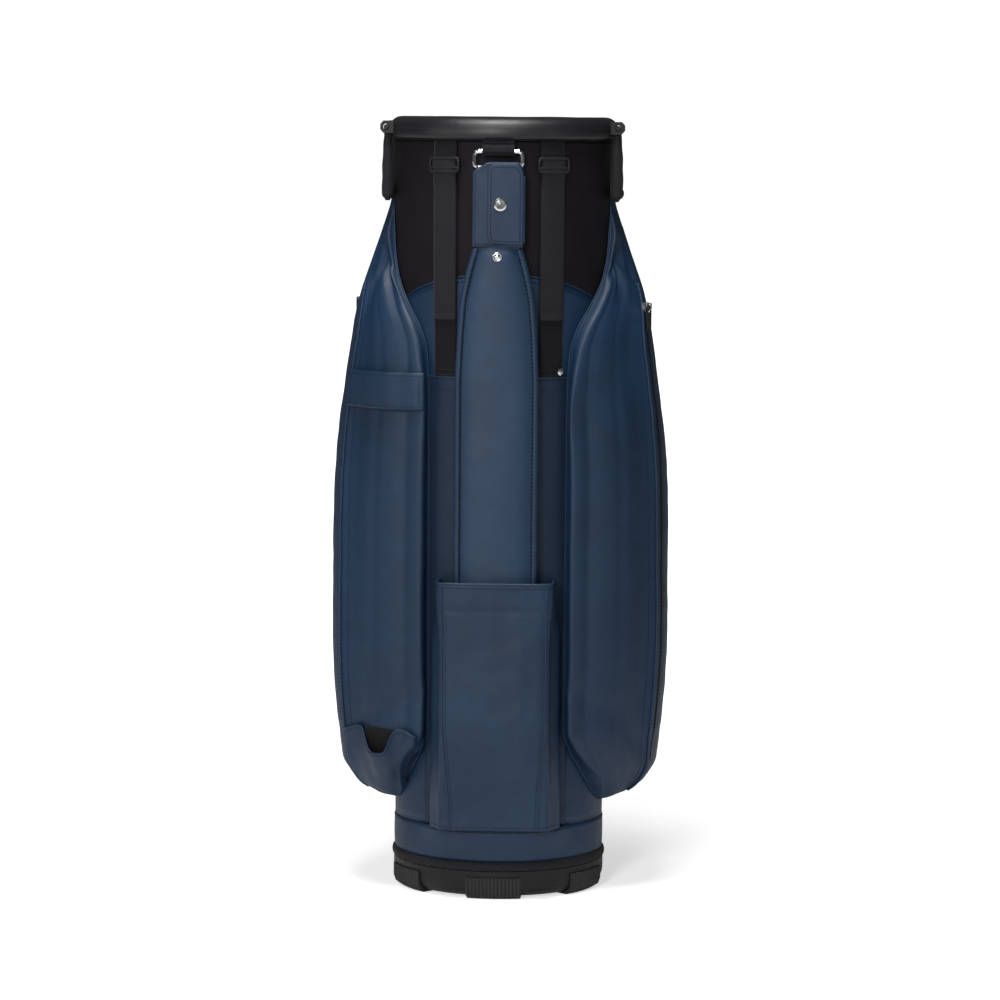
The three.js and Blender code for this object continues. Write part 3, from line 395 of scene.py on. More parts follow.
for side, tag in ((-1, "left"), (1, "right")):
    f = pocket_f(side, 11.0 if side < 0 else 27.0); POCK[tag] = f
    o = surf("side_pocket_%s_shell" % tag, f, 0, 260, 1.5, NAVY, us=np.concatenate([np.linspace(0, 0.065, 20), np.linspace(0.072, 0.928, 108), np.linspace(0.935, 1, 14)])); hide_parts("side_pocket_" + tag)
    # which end of u faces the strap side: phi = side * (90 + t * arc), so t = -1
    vz = lambda z: (z - 102) / 687.5
    zs = np.linspace(106, 784, 150)
    # seam that joins the pocket to the tube's cover, and one along the roll's inside
    P, N = trace(f, [(0.0015, vz(z)) for z in zs], 0.6); piping("pocket_%s_seam" % tag, P, 1.0, NAVY)
    P, N = trace(f, [(0.9985, vz(z)) for z in zs], 0.6); piping("pocket_%s_seam_rear" % tag, P, 1.2, NAVY)
    # corner welts: front and back of the outer panel
    for nm, uu in (("front", 0.5 - 0.33 / 2 - 0.012), ("rear", 0.5 + 0.33 / 2 + 0.012)):
        zz = np.linspace(112, 694, 140)
        P, N = trace(f, [(uu, vz(z)) for z in zz], 0.6); piping("pocket_%s_corner_welt_%s" % (tag, nm), P, 1.6, NAVY)
    zz = np.linspace(118, 690, 140)
    S2 = trace(f, [(0.5 - 0.165 - 0.04, vz(z)) for z in zz], 0.0)
    S3 = trace(f, [(0.5 - 0.165 + 0.018, vz(z)) for z in zz], 0.0)
    S4 = trace(f, [(u, vz(231 - 90 * (0.9 - abs(2 * u - 1)) + 14)) for u in np.linspace(0.06, 0.27, 40)], 0.0)
    stitches("pocket_%s_stitches" % tag, [S2, S3], THREAD_N)

# ------------------------------------------------------------------ flat slip pocket on the strap side
def slip_f(u, v):
    z = 81.7 + v * (591.5 - 81.7); phi = (u - 0.5) * 2 * 41 * D
    mouth = 1.6 * sm(0.93, 1.0, v) * math.cos((u - 0.5) * math.pi)
    return polar(rc_v(z) + 2.0 + 0.5 * dimple(phi, z, 1.6) + mouth, phi, z)
surf("slip_pocket_panel", slip_f, 60, 110, 1.4, PANEL)
P, N = trace(slip_f, [(u, 0.9985) for u in np.linspace(0, 1, 70)], -0.4); piping("slip_pocket_hem", P, 1.2, NAVY)
stitches("slip_pocket_stitches", [trace(slip_f, [(u, 0.972) for u in np.linspace(0.01, 0.99, 70)], 0.0)], THREAD_N)

# ------------------------------------------------------------------ umbrella loop and cup
FA, FB = np.array([-84.0, -88.0]), np.array([-184.0, -52.0]); FU = (FB - FA) / np.linalg.norm(FB - FA); FN = np.array([-0.339, -0.941]); FM = (FA + FB) / 2
def on_face(u, n, z): q = FM + FU * u + FN * n; return (q[0], q[1], z)
LU = np.linspace(-66, 52, 30)
def face_at(U, z):
    f = POCK["left"]; v = (z - 102) / 687.5; best = None
    for u in np.linspace(0.03, 0.42, 60):
        p = f(u, v); d = np.array(p[:2]) - FM; uu = float(d @ FU)
        if best is None or abs(uu - U) < best[0]: best = (abs(uu - U), float(d @ FN))
    return best[1]
LN = [np.array([face_at(U, z) for U in LU]) for z in (553, 575, 597)]
LN = np.convolve(np.pad(np.maximum(np.maximum(LN[0], LN[1]), LN[2]), 2, mode="edge"), np.ones(5) / 5, mode="valid")
def loop_f(u, v):
    a = 2 * u - 1; lift = 6.5 * (1 - abs(a) ** 2.6); z = 553.5 + 42 * v; U = a * 54.5 - 10.5
    return on_face(U, float(np.interp(U, LU, LN)) + 2.6 + lift + 0.8 * math.sin(math.pi * v) ** 0.5 + 0.3 * nz(u * 40, 0, z, 0.08), z)
o = surf("umbrella_loop_strap", loop_f, 50, 20, 2.0, NAVY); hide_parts("umbrella_loop")
runs = [trace(loop_f, [(u, vv) for u in np.linspace(0.02, 0.98, 40)], 0.0) for vv in (0.09, 0.91)] + [trace(loop_f, [(uu, v) for v in np.linspace(0.1, 0.9, 12)], 0.0) for uu in (0.05, 0.95)]
stitches("umbrella_loop_stitches", runs, THREAD_N)
CTAPER = smooth_tab([(104, 0.42), (108, 0.55), (114, 0.68), (122, 0.8), (134, 0.91), (150, 0.985), (192, 1.0)], 104, 192, 3, 200)
CDRAW = smooth_tab([(104, -9), (108, -5), (116, -1), (126, 3), (140, 5), (192, 6)], 104, 192, 3, 200)
def bell(U): return math.exp(-(abs(U + 3) / 21.0) ** 2.6)
CIN = smooth_tab([(104, -15), (112, -22), (122, -27), (141, -34), (160, -46), (176, -60), (192, -63)], 104, 192, 4, 200)
COUT = smooth_tab([(104, 20), (108, 28), (114, 35), (122, 40), (134, 45), (150, 48.5), (192, 49)], 104, 192, 4, 200)
def cup_top(U): return 190 - 29 * math.exp(-(abs(U + 8) / 19.5) ** 4) + 2.5 * math.exp(-((U + 28) / 9) ** 2) - 6 * sm(-40, -58, U) - 7 * sm(20, 50, U)
def face_n(U, z):
    # how far the pocket's own surface stands off the reference plane at U, z
    f = POCK["left"]; v = (z - 102) / 687.5; best = None
    for u in np.linspace(0.02, 0.40, 32):
        p = f(u, v); d = np.array(p[:2]) - FM; uu = float(d @ FU); nn = float(d @ FN)
        if best is None or abs(uu - U) < best[0]: best = (abs(uu - U), nn)
    return best[1]
CGU = np.linspace(-66, 52, 41); CGZ = np.linspace(103, 193, 19)
CGN = np.array([[face_n(U, z) for z in CGZ] for U in CGU])
for _ in range(2):
    Q = np.pad(CGN, 1, mode="edge"); CGN = (Q[1:-1, 1:-1] * 2 + Q[:-2, 1:-1] + Q[2:, 1:-1] + Q[1:-1, :-2] + Q[1:-1, 2:]) / 6
def pocket_n(U, z):
    a = min(len(CGU) - 1.001, max(0, (U - CGU[0]) / (CGU[1] - CGU[0]))); b = min(len(CGZ) - 1.001, max(0, (z - CGZ[0]) / (CGZ[1] - CGZ[0])))
    i, j = int(a), int(b); p, q = a - i, b - j
    return float(CGN[i, j] * (1 - p) * (1 - q) + CGN[i + 1, j] * p * (1 - q) + CGN[i, j + 1] * (1 - p) * q + CGN[i + 1, j + 1] * p * q)
def cup_f(u, v):
    a = 2 * u - 1; zref = 104.6 + v * (190 - 104.6)
    U = CIN(zref) + (COUT(zref) - CIN(zref)) * u
    z = 104.6 + v * (cup_top(U) - 104.6)
    end = sm(1.0, 0.84, abs(a)); open_ = math.exp(-(abs(U + 9) / 19.0) ** 3)
    n = pocket_n(U, z) + 2.6 * end - 0.8 * (1 - end) + (3.0 + 9.5 * open_ * sm(0.15, 1.0, v)) * end + 0.5 * nz(U, 0, z, 0.05, 4)
    return on_face(U, n, z)
cup = surf("umbrella_cup_wall", cup_f, 90, 46, 1.6, NAVY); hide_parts("umbrella_cup")
def lin_f(u, v):
    U = -9 + (2 * u - 1) * 21; z = 126 + v * (190 - 126)
    return on_face(U, pocket_n(U, z) + 1.6 + 0.3 * math.sin(9 * u), z)
surf("umbrella_cup_lining", lin_f, 24, 30, 1.4, LINING)
P, N = trace(cup_f, [(u, 0.998) for u in np.linspace(0.03, 0.97, 90)], -0.6); piping("umbrella_cup_binding", P, 1.3, NAVY, step=2.0)
stitches("umbrella_cup_stitches", [trace(cup_f, [(u, 0.955) for u in np.linspace(0.05, 0.95, 70)], 0.0)], THREAD_N)

# ------------------------------------------------------------------ strap sleeve
def sleeve_profile(s, z):
    # s from 0 to 1 round the U in plan: gussets run from the tube to the two seams of the front panel
    hem = sm(296, 352, z); foot = sm(215, 84, z)
    xb = 73 - 6.0 * hem + 1.0 * foot; xf = 60.5 + 3.2 * hem + 1.2 * foot; yf = -154.9 + 19.0 * foot
    k = (yf + 103) / -51.9
    pts = [(-xb, -100.5), (-xb + 1.5, -103 - 12 * k), (-xf - 2.6, -103 - 33 * k), (-xf - 0.9, -103 - 45 * k), (-xf + 3.2, -103 - 49.4 * k), (-xf + 12, -103 - 51.2 * k), (-30, -103 - 53.3 * k), (0, yf - 2.2 * k)]
    pts = pts + [(-a, b) for a, b in pts[-2::-1]]
    P = np.array(pts, float); d = np.r_[0, np.cumsum(np.linalg.norm(np.diff(P, axis=0), axis=1))]; d /= d[-1]
    return np.interp(s, d, P[:, 0]), np.interp(s, d, P[:, 1])
def sleeve_f(u, v):
    z = 81.6 + v * (363 - 81.6)
    x, y = sleeve_profile(u, z)
    face = sm(0.24, 0.36, u) * sm(0.76, 0.64, u)
    sag = 1.6 * nz(x, 0, z, 0.014, 4) + 0.7 * nz(x, 0, z, 0.045, 8) - 1.0 * math.sin(math.pi * v) * face
    # soft diagonal pulls down from the hem's corners
    for s0 in (-1, 1):
        line = abs((x * s0 + 58) - (330 - z) * 0.16); sag -= 1.3 * math.exp(-(line / 7) ** 2) * sm(335, 320, z) * sm(180, 280, z) * face
    seam = 1.5 * math.exp(-((z - 333) / 1.6) ** 2) * sm(0.2, 0.26, u) * sm(0.8, 0.74, u)
    return (x, min(y + max(-0.5, -sag) * face * 0.9 + seam, -99), z)
us = np.unique(np.concatenate([np.linspace(0, 0.2, 12), np.linspace(0.2, 0.42, 26), np.linspace(0.42, 0.58, 20), np.linspace(0.58, 0.8, 26), np.linspace(0.8, 1, 12)]))
o = surf("strap_sleeve_shell", sleeve_f, 0, 90, 2.0, NAVY, us=us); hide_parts("strap_sleeve")
P, N = trace(sleeve_f, [(u, 1.0) for u in np.linspace(0.004, 0.996, 120)], -1.0); piping("strap_sleeve_top_binding", P, 1.7, NAVY)
runs = [trace(sleeve_f, [(u, vv) for u in np.linspace(0.02, 0.98, 110)], 0.0) for vv in (0.896, 0.984, 0.014)]
ul, ur = 0.243, 0.757
runs += [trace(sleeve_f, [(uu, v) for v in np.linspace(0.02, 0.88, 70)], 0.0) for uu in (ul + 0.018, ur - 0.018)]
stitches("strap_sleeve_stitches", runs, THREAD_N)
for nm, uu in (("left", ul), ("right", ur)):
    P, N = trace(sleeve_f, [(uu, v) for v in np.linspace(0.005, 0.99, 80)], 0.2); piping("strap_sleeve_seam_" + nm, P, 1.1, NAVY)
V = []; F = []
for zz in (81.6, 84.0):
    for u in np.linspace(0.01, 0.99, 60):
        x, y, _ = sleeve_f(u, 0.0); V.append((x * 0.985, y + 1.5, zz))
F = [tuple(range(60))[::-1], tuple(range(60, 120))] + [(i, (i + 1) % 60, 60 + (i + 1) % 60, 60 + i) for i in range(60)]
mesh_object("strap_sleeve_floor", V, F, NAVY, smooth=False)

# ------------------------------------------------------------------ webbings, with the hem doubled back through the slider
WEBPHI = math.asin(59 / 125)
def web_lift(z):
    # lies on the cover, rises to pass through the slider
    return 0.7 + 2.3 * math.exp(-((z - 828) / 17) ** 2)
for side, tag in ((-1, "left"), (1, "right")):
    ph = side * WEBPHI
    def wf(u, v, ph=ph):
        z = 590.5 + v * (855.6 - 590.5); e = 1 - abs(2 * u - 1) ** 8
        return polar(rc_v(z) + web_lift(z) + 1.1 * e + 0.9 + 0.25 * nz(u * 20, ph, z, 0.03), ph + (u - 0.5) * 29 / 125, z)
    o = surf("webbing_%s_band" % tag, wf, 14, 120, 1.5, WEBD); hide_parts("webbing_" + tag)
    def tf(u, v, ph=ph):
        z = 655 + v * (836 - 655); e = 1 - abs(2 * u - 1) ** 8
        end = 0.7 * sm(0.035, 0.0, v) - 0.7 * sm(0.03, 0.05, v) * sm(0.09, 0.06, v) * 0.6
        return polar(rc_v(z) + web_lift(z) + 1.1 * e + 2.6 + end + 0.3 * nz(u * 20, ph, z, 0.03, 5), ph + (u - 0.5) * 28.6 / 125, z)
    surf("webbing_%s_return" % tag, tf, 14, 90, 1.5, WEB)
    runs = [trace(tf, [(u, vv) for u in np.linspace(0.06, 0.94, 14)], 0.05) for vv in (0.012, 0.055)] + [trace(tf, [(uu, v) for v in np.linspace(0.012, 0.055, 5)], 0.05) for uu in (0.08, 0.92)]
    runs += [trace(wf, [(u, vv) for u in np.linspace(0.06, 0.94, 14)], 0.05) for vv in (0.012, 0.035)]
    stitches("webbing_%s_stitches" % tag, runs, THREAD_B, pitch=3.0, length=2.2, w=0.35)
    # slim slider: a round-wire frame whose two long bars lie over the webbing
    fr = []
    for xx, zz2 in [(-17.2, 821.6), (-16.2, 820.8)] + [(x2, 820.6) for x2 in np.linspace(-13, 13, 9)] + [(16.2, 820.8), (17.2, 821.6), (17.4, 828), (17.2, 834.4), (16.2, 835.2)] + [(x2, 835.4) for x2 in np.linspace(13, -13, 9)] + [(-16.2, 835.2), (-17.2, 834.4), (-17.4, 828)]:
        fr.append(polar(rc_v(828) + 6.0, ph + xx / 125, zz2))
    o = piping("tri_glide_%s_frame" % tag, fr, 1.55, PLASTIC, body="tri_glide_" + tag, closed=True, sides=10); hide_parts("tri_glide_" + tag)
    piping("tri_glide_%s_bar" % tag, [polar(rc_v(828) + 5.4, ph + xx / 125, 824.6) for xx in np.linspace(-17, 17, 12)], 1.7, PLASTIC, body="tri_glide_" + tag, sides=10, step=2.0)
    for e in (-1, 1):
        pts = [polar(rc_v(828) + 5.6, ph + e * 17.5 / 125, z) for z in np.linspace(823.0, 833.0, 8)]
        piping("slider_%s_end_%s" % (tag, "a" if e < 0 else "b"), pts, 1.75, TEETH, body="tri_glide_" + tag, sides=12, step=1.0)

# ------------------------------------------------------------------ strap anchor: folded webbing tab
def anchor_f(u, v):
    # v runs down the front, round the bar and back up
    L = [(-128.6, 855.4), (-129.2, 850.5), (-134, 848.6), (-137.2, 846.6), (-138.6, 843.0), (-137.2, 839.4), (-133.5, 838.0), (-129.8, 839.4), (-128.4, 843.0)]
    n = len(L) - 1; k = min(n - 1e-6, v * n); i = int(k); f = k - i
    y = L[i][0] * (1 - f) + L[i + 1][0] * f; z = L[i][1] * (1 - f) + L[i + 1][1] * f
    return ((u - 0.5) * 36, y, z)
o = surf("strap_anchor_web", anchor_f, 14, 50, 1.6, WEBD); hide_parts("strap_anchor")
zig = []
for i, xx in enumerate(np.linspace(-16, 16, 17)): zig.append((xx, -129.3 - 0.05, 851.6 if i % 2 else 854.2))
stitches("strap_anchor_stitches", [(np.array(zig), np.array([[0, -1, 0]] * len(zig)))], THREAD_B, pitch=2.9, length=2.6, w=0.4)

# ------------------------------------------------------------------ leather wrap, its flap and fasteners
def slab(name, outline, y_front, y_back, mat, body, crown=0.0, rnd=1.3, rings=5, hole=None, bow=None):
    """A padded plate: outline in (x, z), rounded front edge, slightly crowned face."""
    O = np.array(outline, float); c = O.mean(0)
    T = np.roll(O, -1, 0) - np.roll(O, 1, 0); Nn = np.stack([T[:, 1], -T[:, 0]], 1); Nn /= np.linalg.norm(Nn, axis=1, keepdims=True) + 1e-9
    if np.sum(Nn * (O - c)) < 0: Nn = -Nn
    V = []; n = len(O); rows = []
    def row(inset, y):
        rows.append(len(V)); P = O - Nn * inset
        for p in P: V.append((p[0], y + (bow(p[0], p[1]) if bow else 0), p[1]))
    row(0.5, y_back); row(0, y_back - 0.5)
    for k in range(rings):
        a = math.pi / 2 * k / (rings - 1); row(rnd * (1 - math.cos(a)), y_front + rnd * (1 - math.sin(a)))
    def shrink(k):
        rows.append(len(V)); P = c + (O - Nn * rnd - c) * k
        for p in P: V.append((p[0], y_front - crown * (1 - k ** 2.5) + (bow(p[0], p[1]) if bow else 0), p[1]))
    for k in (0.93, 0.84, 0.7, 0.5, 0.28, 0.1): shrink(k)
    V.append((c[0], y_front - crown + (bow(*c) if bow else 0), c[1])); tip = len(V) - 1
    rows_b = []
    for k in (0.6, 0.2):
        rows_b.append(len(V)); P = c + (O - c) * k
        for p in P: V.append((p[0], y_back + (bow(p[0], p[1]) if bow else 0), p[1]))
    V.append((c[0], y_back + (bow(*c) if bow else 0), c[1])); tb = len(V) - 1
    F = []
    chain = rows_b[::-1] + rows
    for a, b in zip(chain[:-1], chain[1:]):
        for i in range(n): F.append((a + i, a + (i + 1) % n, b + (i + 1) % n, b + i))
    for i in range(n):
        F.append((rows[-1] + i, rows[-1] + (i + 1) % n, tip)); F.append((rows_b[-1] + (i + 1) % n, rows_b[-1] + i, tb))
    vol = 0
    for f in F:
        p = [np.array(V[k]) for k in f]
        for j in range(1, len(p) - 1): vol += np.dot(p[0], np.cross(p[j], p[j + 1]))
    if vol < 0: F = [f[::-1] for f in F]
    return mesh_object(name, V, F, mat, body)
def outline(points, r, seg=6):
    """Polygon with its corners rounded; points as (x, z, radius or None)."""
    out = []; n = len(points)
    for i in range(n):
        p = np.array(points[i][:2], float); a = np.array(points[i - 1][:2], float); b = np.array(points[(i + 1) % n][:2], float)
        rr = points[i][2] if len(points[i]) > 2 else r
        u = (a - p) / np.linalg.norm(a - p); w = (b - p) / np.linalg.norm(b - p)
        s, e = p + u * rr, p + w * rr
        for k in range(seg + 1):
            t = k / seg; out.append(tuple((1 - t) ** 2 * s + 2 * t * (1 - t) * p + t * t * e))
    # even spacing, so long sides get vertices too
    P = np.array(out + [out[0]]); return [tuple(q) for q in resample(np.c_[P, np.zeros(len(P))], 2.2)[:-1, :2]]
SB, ST = -127.5, 12.0
W = outline([(-28.5, 737, 2), (28.5, 737, 2), (28.5, 822, 4), (24, 831.5, 3), (-12, 831.5, 3), (-28.5, 821, 3)], 3)
o = slab("strap_wrap_leather", W, SB - ST, SB - 0.2, NAVY, "strap_upper", crown=0.15, rnd=2.4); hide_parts("strap_wrap")
FL = outline([(28.4, 740, 2), (28.4, 821, 4), (23, 829.5, 3), (-7, 829.5, 3), (-11.3, 824, 3), (-11.3, 741, 10)], 4)
FY = SB - ST - 0.5
o = slab("wrap_flap_leather", FL, FY - 2.3, FY, NAVY, "wrap_flap", crown=0.35, rnd=1.0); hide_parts("wrap_flap")
def inset_run(pts, d, y, close=True):
    O = np.array(pts); T = np.roll(O, -1, 0) - np.roll(O, 1, 0); Nn = np.stack([T[:, 1], -T[:, 0]], 1); Nn /= np.linalg.norm(Nn, axis=1, keepdims=True)
    if np.sum(Nn * (O - O.mean(0))) < 0: Nn = -Nn
    Q = O - Nn * d; Q = np.r_[Q, Q[:1]]
    return np.array([(q[0], y, q[1]) for q in Q]), np.array([[0, -1, 0]] * len(Q), float)
stitches("wrap_flap_stitches", [inset_run(FL, 3.6, FY - 2.55)], THREAD_D, body="wrap_flap", pitch=3.6, length=2.3, w=0.5)
stitches("strap_wrap_stitches", [inset_run(W, 3.2, SB - ST - 0.15)], THREAD_D, body="strap_upper", pitch=3.6, length=2.3, w=0.45)
# folded hinge of the flap on the wrap's right edge
V = [(0, SB - ST - 5.2, 727)]; F = []
for k, (r, y) in enumerate(((1.2, 5.1), (2.2, 4.8), (3.1, 4.1), (3.7, 3.0), (3.8, 1.6))):
    V += [(r * math.cos(TAU * a / 20), SB - ST - y, 727 + r * math.sin(TAU * a / 20)) for a in range(20)]
F = [(0, 1 + a, 1 + (a + 1) % 20) for a in range(20)] + [(1 + 20 * k + a, 21 + 20 * k + a, 21 + 20 * k + (a + 1) % 20, 1 + 20 * k + (a + 1) % 20) for k in range(4) for a in range(20)] + [tuple(81 + a for a in range(20))[::-1]]
mesh_object("wrap_rivet_cap", V, F, CHROME, body="strap_upper")
piping("wrap_rivet_collar", [(4.4 * math.cos(a), SB - ST - 3.1, 727 + 4.4 * math.sin(a)) for a in np.linspace(0, TAU, 25)][:-1], 0.9, CHROME, body="strap_upper", closed=True)
piping("wrap_fold", [(28.9, SB - ST * 0.5 - 5.5, z) for z in np.linspace(742, 816, 20)], 1.5, NAVY, body="strap_upper")

# ------------------------------------------------------------------ shoulder strap pad: one crowned length across both links
SWT = smooth_tab([(303, 92), (363, 93), (589, 93.5), (640, 89), (678, 83), (710, 70), (735, 56), (745, 54)], 303, 745, 10, 500)
def pad_section(z):
    h = SWT(z) / 2; bind = 3.4; n = 44; S = []
    # front face from left to right, then the back
    for k in range(n + 1):
        t = -1 + 2 * k / n; x = t * (h - bind); e = abs(t)
        d = (1 - e) * (h - bind) + bind
        rise = 1.2 + (4.2 * (1 - math.exp(-(d - 8.2) / 7)) + 3.0 * (1 - e * e) - 0.6 if d > 8.2 else 0.4 * (8.2 - d) / 5)
        S.append((x, -(rise + 1.6)))
    return S, h
def pad_point(x, dy, z):
    w = 0.9 * nz(x, 3, z, 0.018, 2) + 0.35 * nz(x, 1, z, 0.06, 7)
    return (x, SB - ST / 2 + dy + (w if dy < -3 else 0) * 0.6, z)
zs = np.r_[np.linspace(303.5, 330, 8), np.linspace(334, 725, 104), np.linspace(728, 742, 6)]
V = []; rows = []
for z in zs:
    S, h = pad_section(z); k = 1.0 if z < 728 else 1 - 0.55 * (z - 728) / 14
    front = [pad_point(x, dy * k, z) for x, dy in S]
    back = [pad_point(x, 1.6 + 2.6 * (1 - (abs(x) / h) ** 4) * k, z) for x, dy in S[::-1]]
    # hinge crease: the pad is a little thinner where it folds
    rows.append(len(V)); V += front + back
n = len(front) + len(back); F = []
for a, b in zip(rows[:-1], rows[1:]):
    for i in range(n): F.append((a + i, a + (i + 1) % n, b + (i + 1) % n, b + i))
F.append(tuple(range(rows[0], rows[0] + n))[::-1]); F.append(tuple(range(rows[-1], rows[-1] + n)))
vol = sum(np.dot(V[f[0]], np.cross(V[f[1]], V[f[2]])) + np.dot(V[f[0]], np.cross(V[f[2]], V[f[3]])) for f in F[:-2])
if vol < 0: F = [f[::-1] for f in F]
def across(o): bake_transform(o)
pad = mesh_object("strap_pad_padded", V, F, PADM, body=None); across(pad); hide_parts("strap_pad_upper", "strap_pad_lower")
for s, nm in ((-1, "left"), (1, "right")):
    P = [(s * (SWT(z) / 2 - 3.9), SB - ST / 2 - 1.2, z) for z in np.linspace(304, 736, 150)]
    V, F = sweep_arrays(resample(P, 4.0), 4.1, 14, False, up=[0, 1, 0])
    b = mesh_object("strap_binding_" + nm, V, F, NAVY, body=None); across(b)
    run = [(s * (SWT(z) / 2 - 6.2), SB - ST / 2 - 4.75, z) for z in np.linspace(306, 726, 150)]
    run2 = [(s * (SWT(z) / 2 - 2.6), SB - ST / 2 - 3.0, z) for z in np.linspace(306, 732, 150)]
    nrm = np.array([[0, -1, 0]] * 150, float)
    b = stitches("strap_stitches_" + nm, [(np.array(run), nrm)], THREAD_D, body=None, pitch=4.3, length=2.7, w=0.8); across(b)

# ------------------------------------------------------------------ front pockets (+Y side)
def front_f(z0, z1, a, d, arc, seed):
    def f(u, v):
        k = 0.5 - 0.5 * math.cos(math.pi * (0.06 + 0.88 * v)) ; k = (k - 0.0089) / (1 - 0.0178)
        k = min(1, max(0, k)); z = z0 + (z1 - z0) * k
        end = max(0.0, 1 - abs(2 * k - 1) ** 5) ** 0.25
        t = 2 * u - 1; tt = math.sin(t * math.pi / 2) * 0.35 + t * 0.65
        psi = tt * arc * D; base = rc_v(z) + 0.5
        b = rc_v(z) + 2.0 + (d - 2.0) * end; half = a * (0.94 + 0.06 * end); n = 7
        se = ((abs(math.sin(psi)) / half) ** n + (math.cos(psi) / b) ** n) ** (-1 / n)
        r = max(base, se)
        if abs(t) > 0.97: r = base + (r - base) * (1 - abs(t)) / 0.03
        x, y = r * math.sin(psi), r * math.cos(psi)
        w = sm(1.0, 0.8, abs(t)) * end
        r += w * (-0.8 + 1.6 * nz(x, y, z, 0.012, seed) + 0.6 * nz(x, y, z, 0.045, seed + 3))
        return (r * math.sin(psi), r * math.cos(psi), z)
    return f
def plane_line(f, kz, us=np.linspace(0.0, 1.0, 120), off=0.0):
    """The level line of a pocket surface at height kz."""
    vs = np.linspace(0, 1, 400); zz = np.array([f(0.5, v)[2] for v in vs]); v = float(np.interp(kz, zz, vs))
    return trace(f, [(u, v) for u in us], off)
for nm, z0, z1, a, d, arc, zz in (("ball", 92, 336, 80, 74, 40, 301.5), ("accessory", 346, 522, 76, 54, 38.5, 493.5), ("valuables", 532, 668, 68, 34, 33.5, 643.5)):
    f = front_f(z0, z1, a, d, arc, {"ball": 2, "accessory": 6, "valuables": 9}[nm])
    o = surf(nm + "_pocket_shell", f, 96, 90, 1.6, NAVY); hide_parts(nm + "_pocket")
    us = np.linspace(0.035, 0.965, 140)
    # zip: woven tape, two rows of teeth, a welt above and below
    for dz, r, mat, tag in ((0, 3.6, WEBD, "tape"),):
        P, N = plane_line(f, zz + 6, us, -2.6); V, F = [], []
        V, F = sweep_arrays(resample(P, 3), 3.6, 10); mesh_object("%s_zip_tape" % nm, V, F, WEBD)
    P, N = plane_line(f, zz + 6, us, 0.9); Q, M = resample(P, 1.9, N); V = []; F = []
    for i in range(len(Q) - 1):
        t = (Q[i + 1] - Q[i]); t /= np.linalg.norm(t); c = Q[i] + np.array([0, 0, 0.9 if i % 2 else -0.9]); b = len(V)
        for sx in (-0.62, 0.62):
            for sy in (-0.5, 0.5):
                for sz in (-1.5, 1.5): V.append(c + t * sx + M[i] * sy + np.array([0, 0, sz]))
        F += [tuple(b + k for k in q) for q in ((0, 1, 3, 2), (4, 6, 7, 5), (0, 4, 5, 1), (2, 3, 7, 6), (0, 2, 6, 4), (1, 5, 7, 3))]
    mesh_object("%s_zip_teeth" % nm, V, F, TEETH, smooth=False)
    for dz, tag in ((10.5, "upper"), (1.5, "lower")):
        P, N = plane_line(f, zz + dz, us, 0.2); piping("%s_zip_welt_%s" % (nm, tag), P, 1.3, NAVY)
    runs = [plane_line(f, zz + 14, us, 0.0), plane_line(f, zz - 2.2, us, 0.0)]
    for uu in (0.12, 0.88): runs.append(trace(f, [(uu, v) for v in np.linspace(0.06, 0.94, 60)], 0.0))
    stitches(nm + "_pocket_stitches", runs, THREAD_N)
    for uu, tg in ((0.012, "a"), (0.988, "b")):
        P, N = trace(f, [(uu, v) for v in np.linspace(0.01, 0.99, 70)], 0.8); piping("%s_pocket_welt_%s" % (nm, tg), P, 1.4, NAVY)
    ks = [trace(f, [(u, vv) for u in np.linspace(0.02, 0.98, 60)], 0.6)[0] for vv in (0.004, 0.996)]
    for k, P in enumerate(ks): piping("%s_pocket_rim_%d" % (nm, k), P, 1.3, NAVY)

# ------------------------------------------------------------------ side handles: padded grip over the bail
for side, tag in ((-1, "left"), (1, "right")):
    X = side * 131; zb = 869 - 74
    P = [(X + side * 1.2 * math.sin(math.pi * k), y, zb + 0.0) for k, y in zip(np.linspace(0, 1, 30), np.linspace(-33, 33, 30))]
    V, F = [], []
    P = resample(P, 2.0)
    for i, p in enumerate(P):
        k = i / (len(P) - 1); r = 6.6 * (1 - abs(2 * k - 1) ** 10 * 0.4) + 0.25 * math.sin(k * 60)
        for q in range(14):
            a = TAU * q / 14; V.append((p[0] + r * 0.8 * math.cos(a), p[1], p[2] + r * math.sin(a)))
    n = len(P)
    for i in range(n - 1):
        for q in range(14): F.append((i * 14 + q, i * 14 + (q + 1) % 14, i * 14 + 14 + (q + 1) % 14, i * 14 + 14 + q))
    F.append(tuple(range(14))[::-1]); F.append(tuple((n - 1) * 14 + q for q in range(14)))
    for e in (-1, 1):
        def leg(u, v, e=e):
            a = TAU * u; z = zb - 9 + v * (862 - zb + 9); w = (9.5 - 2.5 * v + 0.3 * math.sin(v * 21) + 0.2 * math.sin(v * 47 + a)) * (0.35 + 0.65 * sm(0, 0.07, v))
            return (X + side * (-1.6 + (6.6 - 2.6 * v ** 3 + 0.25 * math.sin(v * 19 + 2 * e)) * (0.4 + 0.6 * sm(0, 0.08, v)) * math.cos(a)), e * 40.5 + w * math.sin(a) * 0.8, z)
        V2 = [leg(q / 16, k / 44) for k in range(45) for q in range(16)]
        F2 = [(k * 16 + q, k * 16 + (q + 1) % 16, k * 16 + 16 + (q + 1) % 16, k * 16 + 16 + q) for k in range(44) for q in range(16)]
        F2 += [tuple(range(16))[::-1], tuple(44 * 16 + q for q in range(16))]
        if side < 0: F2 = [f2[::-1] for f2 in F2]
        mesh_object("handle_%s_sleeve_%s" % (tag, "a" if e < 0 else "b"), V2, F2, WEB, body="handle_" + tag)
    g = mesh_object("handle_%s_grip" % tag, V, F, BLACK, body="handle_" + tag)

